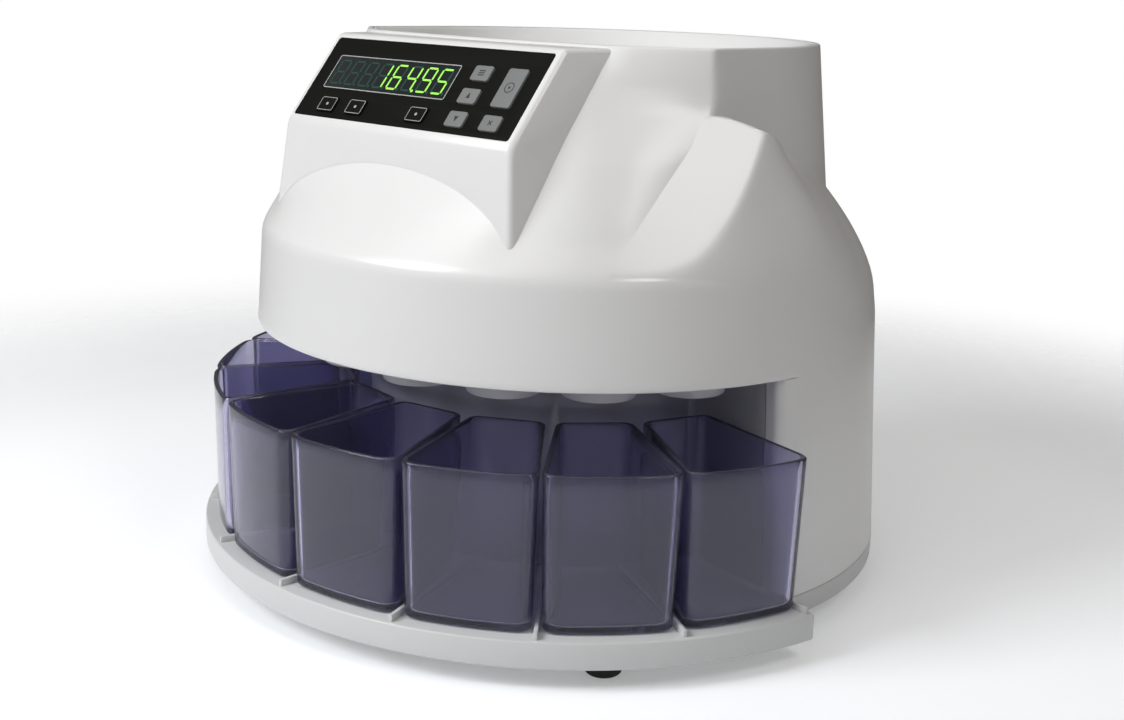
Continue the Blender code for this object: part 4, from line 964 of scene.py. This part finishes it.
def cupShell():
    # rings from the outer bottom over the rim to the inner floor
    soft, floor, wall, lip = cup["footSoft"], cup["floor"], cup["wall"], cup["lipSoft"]
    rings = []

    def side(height, inset):
        share = (height - floor) / (cup["rim"] - floor)
        rings.append(cupRing(cup["draft"] * (1 - share) + inset, height, cup["rise"] * max(share, 0) ** 3))

    for t in np.linspace(0, math.pi / 2, 6):
        side(floor + soft * (1 - math.cos(t)), soft * (1 - math.sin(t)))
    for height in np.linspace(floor + soft, cup["rim"] - lip, 9)[1:]:
        side(height, 0)
    for t in np.linspace(0, math.pi, 9)[1:-1]:
        side(cup["rim"] - lip + lip * math.sin(t), wall / 2 * (1 - math.cos(t)))
    for height in np.linspace(cup["rim"] - lip, floor + cup["base"] + soft, 9):
        side(height, wall)
    for t in np.linspace(0, math.pi / 2, 6)[1:]:
        side(floor + cup["base"] + soft * (1 - math.sin(t)), wall + soft * (1 - math.cos(t)))
    return rings


def makeCups():
    rings = cupShell()
    wide = len(rings[0])
    faces = [tuple(range(wide))[::-1], *gridFaces(len(rings), wide, closed=True)]
    faces.append(tuple(range((len(rings) - 1) * wide, len(rings) * wide)))
    for number, angle in enumerate(cupAngles, 1):
        turn = Matrix.Translation((0, drumY, 0)) @ Matrix.Rotation(math.radians(angle), 4, "Z")
        points = [turn @ (p * mm) for ring in rings for p in ring]
        piece = smoothShade(tidyMesh(addMesh(f"cupBody_{number}", points, faces)), 50)
        dress(piece, "smokyCup", body=f"cup_{number}", nodes=[f"coin_cup_{number}"])


makeCups()
print("Cups done")

# Cup bay
bay = {"back": 97.0, "wall": 2.5, "low": 22.3, "upperRow": 95.0, "endGap": 0.8, "cornerSoft": 2.5,
       "edge": 0.5, "edgeSteps": 2}


def makeBay():
    # the wall behind the cups with its two cheeks, in one bent sheet
    half = base["halfAngle"]
    rows = []
    for z in (bay["low"], (bay["low"] + bay["upperRow"]) / 2, bay["upperRow"], housing["bandBottom"]):
        end = bandRadius(z) - housing["returnDepth"] - bay["endGap"]
        left = [drumPoint(-half, r, z) for r in np.linspace(end, bay["back"] + bay["cornerSoft"], 8)]
        turn = math.degrees(bay["cornerSoft"] / bay["back"])
        arc = [drumPoint(a, bay["back"], z) for a in np.linspace(-half + turn, half - turn, 120)]
        right = [drumPoint(half, r, z) for r in np.linspace(bay["back"] + bay["cornerSoft"], end, 8)]
        rows.append(left + arc + right)
    wide = len(rows[0])
    sheet = addMesh("bayWall", [p for row in rows for p in row], gridFaces(len(rows), wide, closed=False))
    piece = tidyMesh(sheet, outward=False)
    turnOutward(piece, wide // 2)
    smoothShade(thicken(piece, bay), 50)
    return dress(piece, "bayGrey", nodes=["cup_bay_wall"])


spout = {"radius": 117.0, "end": 108.5, "endRadius": 16.0, "topRadius": 19.0, "top": 141.7, "wall": 1.6,
         "flangeLow": 120.7, "flangeHigh": 122.2, "flange": 2.5}


def makeSpouts():
    grown = (spout["topRadius"] - spout["endRadius"]) / (spout["top"] - spout["end"])
    mid = spout["endRadius"] + grown * (spout["flangeLow"] - spout["end"])
    wall, flange = spout["wall"], mid + spout["flange"]
    top, high, low, end = spout["top"], spout["flangeHigh"], spout["flangeLow"], spout["end"]
    corners = [(spout["topRadius"] - wall, top), (spout["topRadius"], top), (mid, high), (flange, high),
               (flange, low), (mid, low), (spout["endRadius"], end), (spout["endRadius"] - wall, end),
               (spout["topRadius"] - wall, top)]
    profile = [(r * mm, z * mm) for r, z in roundedProfile(corners, 0.5)][:-1]
    source = turned("spout", profile, 48)
    count, radius = cup["count"], spout["radius"] * mm
    piece = radialRepeat("spoutFan", source, "whiteShell", count, cup["step"], cupAngles[0], radius)
    chutes = [f"chute_{index + 1}" for index in range(count)]
    return dress(smoothShade(piece), "whiteShell", nodes=chutes)


plate = {"inner": 92.5, "low": 117.9, "high": 120.4, "gap": 0.3, "hole": 17.1}


def makeSpoutPlate():
    half = housing["columnStart"]
    outer = bandRadius(plate["high"]) - housing["wall"] - plate["gap"]
    outline = arcPoints(outer, -half, half, 120) + arcPoints(plate["inner"], half, -half, 90)
    centres = [drumPoint(angle, spout["radius"], 0)[:2] for angle in cupAngles]
    holes = [circlePoints(plate["hole"] * mm, 48, centre) for centre in centres]
    piece = flatPiece("spoutPlate", outline, plate["low"] * mm, plate["high"] * mm, holes)
    return dress(smoothShade(piece), "bayGrey", nodes=["spout_plate"])


makeBay()
makeSpouts()
makeSpoutPlate()
print("Cup bay done")

# Hopper
bowl = {"wall": 2.0, "drop": 1.0, "gap": 0.3, "throat": 84.0, "throatHeight": 157.0, "collar": 6.5,
        "sag": 0.25, "edge": 0.7, "edgeSteps": 3}
disc = {"radius": 80, "edge": 0.5, "bore": 5.3, "holes": 4, "holeRadius": 14.5, "holesAt": 54}


def makeBowl():
    angles = np.arange(0, 360, 1.5)
    top = housing["lip"] - bowl["drop"]
    inset = housing["wall"] + bowl["gap"]
    rim = hopperRadius(np.where(angles > 180, angles - 360, angles), np.full_like(angles, top), inset)
    heights = [bowl["throatHeight"] - bowl["collar"]]
    rows = [np.full_like(rim, bowl["throat"])]
    for share in np.linspace(1, 0, 40):
        sag = bowl["sag"] * math.sin(math.pi * share) * (rim - bowl["throat"])
        rows.append(rim + (bowl["throat"] - rim) * share - sag)
        heights.append(top + (bowl["throatHeight"] - top) * share)
    piece = gridSurface("hopperBowl", angles, np.array(heights)[:, None], np.array(rows), closed=True)
    tidyMesh(piece, outward=False)
    turnOutward(piece)
    smoothShade(thicken(piece, bowl), 45)
    return dress(piece, "whiteShell", nodes=["hopper_bowl"])


def makeCap():
    low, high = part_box("hub_cap")
    r, z, h = (high[0] - low[0]) / 2, low[2], high[2] - low[2]
    corners = [(0, z + h), (r * 0.55, z + 0.88 * h), (r * 0.95, z + 0.45 * h), (r, z), (r * 0.5, z),
               (r * 0.5, z + 0.3 * h), (0, z + 0.3 * h)]
    piece = turned("hubCap", roundedProfile(corners, 4 * mm, 6), 64, (0, drumY))
    return dress(piece, "blackPlastic", body="rotor", nodes=["hub_cap"])


def makeDisc():
    low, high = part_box("hopper_disc")
    centres = circlePoints(disc["holesAt"] * mm, disc["holes"], (0, drumY))
    holes = [circlePoints(disc["holeRadius"] * mm, 48, centre) for centre in centres]
    holes.append(circlePoints(disc["bore"] * mm, 32, (0, drumY)))
    rim = circlePoints(disc["radius"] * mm, 128, (0, drumY))
    piece = flatPiece("hopperDisc", rim, low[2], high[2], holes, edge=disc["edge"] * mm)
    smoothShade(piece, 15)
    return dress(piece, "zincSteel", body="rotor", nodes=["hopper_disc"])


makeBowl()
makeCap()
makeDisc()
print("Hopper done")

# Control face
window = {"width": 81.8, "height": 17.7, "across": -20.4, "up": 3.15, "corner": 0.8, "line": 0.45,
          "lineOut": 0.6, "lineCorner": 1.1, "gap": 0.4, "paneCorner": 0.7, "low": -1.2, "high": -0.1,
          "edge": 0.1}
keyCap = {"corner": 1.2, "low": -2.2, "edge": 0.3, "flange": 1.6, "flangeCorner": 0.6, "flangeLow": -2.5,
          "flangeHigh": -1.7, "stem": 1.8, "stemTop": -2.1, "gap": 0.4, "gapCorner": 1.3}
signs = {"low": 0.01, "high": 0.06, "inset": 0.7, "corner": 0.9, "line": 0.28, "spot": 0.75, "tip": 1.6,
         "half": 1.15, "ring": 2.6, "ringInner": 2.2, "dot": 0.6, "bar": (3.6, 0.5, 0.2), "barStep": 1.1,
         "strokeLong": 1.4, "strokeThin": 0.25}
keyLooks = {
    "preset_key_left": ("outlined", None), "preset_key_middle": ("outlined", None),
    "preset_key_right": ("outlined", None), "mode_key": ("grey", "bars"), "up_key": ("grey", "up"),
    "down_key": ("grey", "down"), "start_key": ("grey", "ring"), "clear_key": ("grey", "cross"),
}


def keySize(name):
    # centre, size, top and lowest point of a key on the face, measured on its CAD node
    mesh = frame["nodes"][name].data
    back = face.inverted()
    local = [back @ v.co for v in mesh.vertices]
    top = max(p.z for p in local)
    cap = [p for p in local if p.z > top - 0.1 * mm]
    x0, x1 = min(p.x for p in cap), max(p.x for p in cap)
    y0, y1 = min(p.y for p in cap), max(p.y for p in cap)
    return (x0 + x1) / 2, (y0 + y1) / 2, x1 - x0, y1 - y0, top, min(p.z for p in local)


def ringOutline(width, height, corner, line, centre):
    outer = roundedBox(width, height, corner, centre)
    inner = roundedBox(width - 2 * line, height - 2 * line, max(corner - line, 0.1 * mm), centre)
    return outer, inner


def onFace(name, outline, low, high, holes=(), edge=0.0):
    # a flat piece on the control face, its heights and edge in millimetres
    return flatPiece(name, outline, low * mm, high * mm, holes, edge=edge * mm, place=face)


def makePanel():
    keyRects = {name: keySize(name) for name in keyLooks}
    centre = (window["across"] * mm, window["up"] * mm)
    width, height = window["width"], window["height"]
    holes = [roundedBox(width * mm, height * mm, window["corner"] * mm, centre)]
    gap = keyCap["gap"] * mm
    for across, up, wide, tall, _, _ in keyRects.values():
        holes.append(roundedBox(wide + gap, tall + gap, keyCap["gapCorner"] * mm, (across, up)))
    outline = roundedBox(panel["width"] * mm, panel["height"] * mm, panel["corner"] * mm)
    sheet = onFace("panelOverlay", outline, -panel["thickness"], 0, holes, panel["edge"])
    dress(smoothShade(sheet), "panelBlack", nodes=["panel_overlay"])
    size = (width + window["lineOut"]) * mm, (height + window["lineOut"]) * mm
    outer, inner = ringOutline(*size, window["lineCorner"] * mm, window["line"] * mm, centre)
    line = onFace("windowLine", outer, signs["low"], signs["high"], [inner])
    dress(line, "printGrey")
    size = (width - window["gap"]) * mm, (height - window["gap"]) * mm
    outline = roundedBox(*size, window["paneCorner"] * mm, centre)
    pane = onFace("windowPane", outline, window["low"], window["high"], edge=window["edge"])
    dress(smoothShade(pane), "darkWindow", nodes=["display_window"])
    return keyRects


def makeKeys(keyRects):
    for name, (look, mark) in keyLooks.items():
        across, up, wide, tall, top, low = keyRects[name]
        finish = "keyGrey" if look == "grey" else "keyBlack"
        outline = roundedBox(wide, tall, keyCap["corner"] * mm, (across, up))
        cap = onFace(name + "Cap", outline, keyCap["low"], top / mm, edge=keyCap["edge"])
        more = keyCap["flange"] * mm
        outline = roundedBox(wide + more, tall + more, keyCap["flangeCorner"] * mm, (across, up))
        boolean(cap, onFace("flange", outline, keyCap["flangeLow"], keyCap["flangeHigh"]), "UNION")
        outline = circlePoints(keyCap["stem"] * mm, 20, (across, up))
        boolean(cap, onFace("stem", outline, low / mm, keyCap["stemTop"]), "UNION")
        dress(smoothShade(cap), finish, body=name, nodes=[name])
        for part in keyMarks(name, look, mark, across, up, wide, tall, top):
            dress(part, "printGrey" if look == "outlined" else "printDark", body=name)


def keyMarks(name, look, mark, across, up, wide, tall, top):
    # generic signs printed on the caps
    made = []

    def printed(label, outline, holes=()):
        low, high = top / mm + signs["low"], top / mm + signs["high"]
        made.append(onFace(name + label, outline, low, high, holes))

    def spot(key, steps):
        return circlePoints(signs[key] * mm, steps, (across, up))

    if look == "outlined":
        less = signs["inset"] * mm
        corner, line = signs["corner"] * mm, signs["line"] * mm
        outer, inner = ringOutline(wide - less, tall - less, corner, line, (across, up))
        printed("Line", outer, [inner])
        printed("Sign", spot("spot", 20))
    if mark in ("up", "down"):
        tip, half = signs["tip"] * mm * (1 if mark == "up" else -1), signs["half"] * mm
        foot = up - tip * 0.75
        printed("Sign", [(across - half, foot), (across + half, foot), (across, up + tip)])
    if mark == "ring":
        printed("Ring", spot("ring", 40), [spot("ringInner", 40)])
        printed("Dot", spot("dot", 20))
    if mark == "bars":
        size = [value * mm for value in signs["bar"]]
        for row in (-1, 0, 1):
            printed(f"Bar{row + 1}", roundedBox(*size, (across, up + row * signs["barStep"] * mm)))
    if mark == "cross":
        long, thin = signs["strokeLong"] * mm, signs["strokeThin"] * mm
        for sign in (-1, 1):
            turn = Matrix.Rotation(math.radians(45 * sign), 2)
            corners = [(-long, -thin), (long, -thin), (long, thin), (-long, thin)]
            printed(f"Stroke{sign + 1}", [turn @ Vector(at) + Vector((across, up)) for at in corners])
    return made


digits = {"shown": "   16495", "pointAfter": 5, "height": 12.6, "width": 6.2, "pitch": 9.9, "stroke": 0.95,
          "slant": 0.05, "first": -55.4, "gap": 0.25, "point": 0.75, "pointAcross": 4.3, "thickness": 0.08,
          "sunk": 0.1, "litOut": 0.06, "ghostOut": 0.03}
segmentTable = {" ": "", "1": "bc", "4": "bcfg", "5": "acdfg", "6": "acdefg", "9": "abcdfg"}


def segmentOutline(letter, centreX, centreY):
    # one bar of a seven-bar digit, slanted
    halfW, halfH, s = digits["width"] / 2, digits["height"] / 2, digits["stroke"]
    x, y = {"a": (0, halfH), "b": (halfW, halfH / 2), "c": (halfW, -halfH / 2), "d": (0, -halfH),
            "e": (-halfW, -halfH / 2), "f": (-halfW, halfH / 2), "g": (0, 0)}[letter]
    level = letter in "adg"
    long = (halfW if level else halfH / 2) - digits["gap"]
    t = s / 2
    shape = [(-long, 0), (-long + t, t), (long - t, t), (long, 0), (long - t, -t), (-long + t, -t)]
    if not level:
        shape = [(-q, p) for p, q in shape]
    return [((centreX + x + p + digits["slant"] * (y + q)) * mm, (centreY + y + q) * mm) for p, q in shape]


def makeDigits():
    lit, ghost = [], []
    for index, figure in enumerate(digits["shown"]):
        x = digits["first"] + index * digits["pitch"]
        for letter in "abcdefg":
            target = lit if letter in segmentTable[figure] else ghost
            target.append(segmentOutline(letter, x, window["up"]))
        at = ((x + digits["pointAcross"]) * mm, (window["up"] - digits["height"] / 2) * mm)
        (lit if index == digits["pointAfter"] else ghost).append(circlePoints(digits["point"] * mm, 16, at))
    for name, outlines in (("lit", lit), ("ghost", ghost)):
        out = (digits[name + "Out"] - digits["sunk"]) * mm
        points, faces = [], []
        for outline in outlines:
            faces.append(tuple(range(len(points), len(points) + len(outline))))
            points += [face @ Vector((px, py, out)) for px, py in outline]
        piece = addMesh(name + "Bars", points, faces)
        if piece.data.polygons[0].normal.dot(Vector(face.col[2][:3])) < 0:
            piece.data.flip_normals()
        solidify(piece, digits["thickness"] * mm)
        applyModifiers(piece)
        dress(piece, name + "Segment")


keyRects = makePanel()
makeKeys(keyRects)
makeDigits()
print("Control face done")

# CAD nodes that stay, with their finishes
kept = {
    "zincSteel": ["chassis", "sorting_plate", "gearbox", "power_supply"],
    "steel": ["main_shaft", "drive_motor", "plate_screw_right", "plate_screw_left", "data_port"],
    "brass": ["lower_bearing", "upper_bearing", "motor_pinion"],
    "gearNylon": ["drive_gear"],
    "boardGreen": ["main_board", "coin_sensor_board", "display_board"],
    "blackPlastic": ["sorting_rotor", "led_display", "power_inlet", "power_switch_body", "power_rocker"],
    "trayGrey": ["rear_panel"],
}
for finish, names in kept.items():
    for name in names:
        mesh = frame["nodes"][name].data
        mesh.materials.clear()
        mesh.materials.append(finishes[finish])
print("Kept nodes dressed")

# Camera solved from the photograph, sizes in metres and pixels
shot = {"azimuth": 42.836, "distance": 0.737108, "height": 0.281127, "yaw": 0.195, "pitch": 12.03,
        "roll": 1.709, "focal": 1508.808, "centreX": 562, "centreY": 300, "photoWidth": 1124,
        "photoHeight": 720, "sensor": 36}


def makeCamera():
    azimuth = math.radians(shot["azimuth"])
    ahead = Vector((-math.sin(azimuth), math.cos(azimuth), 0))
    place = Vector((0, drumY, shot["height"])) - ahead * shot["distance"]
    ahead = Matrix.Rotation(math.radians(shot["yaw"]), 3, "Z") @ ahead
    right = Vector((ahead.y, -ahead.x, 0))
    pitch, roll = math.radians(shot["pitch"]), math.radians(shot["roll"])
    up = Vector((0, 0, 1))
    look = ahead * math.cos(pitch) - up * math.sin(pitch)
    over = up * math.cos(pitch) + ahead * math.sin(pitch)
    side = right * math.cos(roll) + over * math.sin(roll)
    over = over * math.cos(roll) - right * math.sin(roll)
    data = bpy.data.cameras.new("photoCamera")
    data.sensor_width = shot["sensor"]
    data.lens = shot["focal"] / shot["photoWidth"] * shot["sensor"]
    data.shift_x = (shot["photoWidth"] / 2 - shot["centreX"]) / shot["photoWidth"]
    data.shift_y = (shot["centreY"] - shot["photoHeight"] / 2) / shot["photoWidth"]
    data.clip_start = 0.01
    camera = addObject("photoCamera", data)
    camera.matrix_world = Matrix.Translation(place) @ Matrix((side, over, -look)).transposed().to_4x4()
    bpy.context.scene.camera = camera


lamps = {
    "key": {"place": (-0.45, -1.25, 1.04), "size": 0.7, "power": 17.0, "colour": (0.97, 0.985, 1.0)},
    "fill": {"place": (0.1, -1.35, 1.1), "size": 1.3, "power": 4.2, "colour": (1.0, 0.98, 0.96)},
    "top": {"place": (-0.1, -0.2, 1.5), "size": 1.0, "power": 3.0, "colour": (1.0, 1.0, 1.0)},
    "side": {"place": (0.88, -0.17, 0.98), "size": 0.3, "power": 2.3, "colour": (1.0, 0.99, 0.97)},
}
room = {"colour": (1.0, 0.93, 0.86), "strength": 0.14, "seen": 1.0, "aimHeight": 0.12}


def makeLights():
    for name, lamp in lamps.items():
        data = bpy.data.lights.new(name, "AREA")
        data.size, data.energy, data.color = lamp["size"], lamp["power"], lamp["colour"]
        made = addObject(name, data)
        made.location = lamp["place"]
        aim = Vector((0, 0, room["aimHeight"])) - Vector(lamp["place"])
        made.rotation_euler = aim.to_track_quat("-Z", "Y").to_euler()
    world = bpy.data.worlds.new("studio")
    bpy.context.scene.world = world
    world.use_nodes = True
    tree = world.node_tree
    tree.nodes.clear()
    dim = {"Color": (*room["colour"], 1), "Strength": room["strength"]}
    dim = addNode(tree, "ShaderNodeBackground", dim)
    white = addNode(tree, "ShaderNodeBackground", {"Color": (1, 1, 1, 1), "Strength": room["seen"]})
    seen = seenRays(tree, "Is Camera Ray", "Is Transmission Ray")
    mixed = addNode(tree, "ShaderNodeMixShader", {0: seen, 1: dim.outputs[0], 2: white.outputs[0]})
    addNode(tree, "ShaderNodeOutputWorld", {"Surface": mixed.outputs[0]})


def seenRays(tree, first, *others):
    # 1 for the rays that show the backdrop, 0 for those that light the object
    path = addNode(tree, "ShaderNodeLightPath").outputs
    total = path[first]
    for name in others:
        total = mathOutput(tree, "MAXIMUM", total, path[name])
    return total


ground = {"radius": 1.6, "depth": 0.002, "colour": (0.86, 0.88, 0.91), "roughness": 0.8, "lift": 0.28,
          "fadeFrom": 0.30, "fadeTo": 0.75}


def makeFloor():
    # a pale disc that keeps the shadow and fades into the white behind it
    floor = flatPiece("floor", circlePoints(ground["radius"], 96), -ground["depth"], 0)
    made = bpy.data.materials.new("paleFloor")
    made.use_nodes = True
    tree = made.node_tree
    shader = tree.nodes["Principled BSDF"]
    shader.inputs["Base Color"].default_value = (*ground["colour"], 1)
    shader.inputs["Roughness"].default_value = ground["roughness"]
    seen = seenRays(tree, "Is Camera Ray", "Is Glossy Ray", "Is Transmission Ray")
    lift = mathOutput(tree, "MULTIPLY", seen, ground["lift"])
    lift = addNode(tree, "ShaderNodeEmission", {"Strength": lift})
    both = addNode(tree, "ShaderNodeAddShader", {0: shader.outputs[0], 1: lift.outputs[0]})
    where = addNode(tree, "ShaderNodeTexCoord").outputs["Object"]
    away = addNode(tree, "ShaderNodeVectorMath", {0: where}, operation="LENGTH").outputs["Value"]
    rim = {"Value": away, "From Min": ground["fadeFrom"], "From Max": ground["fadeTo"]}
    fade = addNode(tree, "ShaderNodeMapRange", rim, interpolation_type="SMOOTHSTEP").outputs["Result"]
    clear = addNode(tree, "ShaderNodeBsdfTransparent").outputs[0]
    mixed = addNode(tree, "ShaderNodeMixShader", {0: fade, 1: both.outputs[0], 2: clear})
    tree.links.new(mixed.outputs[0], tree.nodes["Material Output"].inputs["Surface"])
    floor.data.materials.append(made)


makeCamera()
makeLights()
makeFloor()
bpy.context.scene.view_settings.view_transform = "Standard"
print("Studio done")
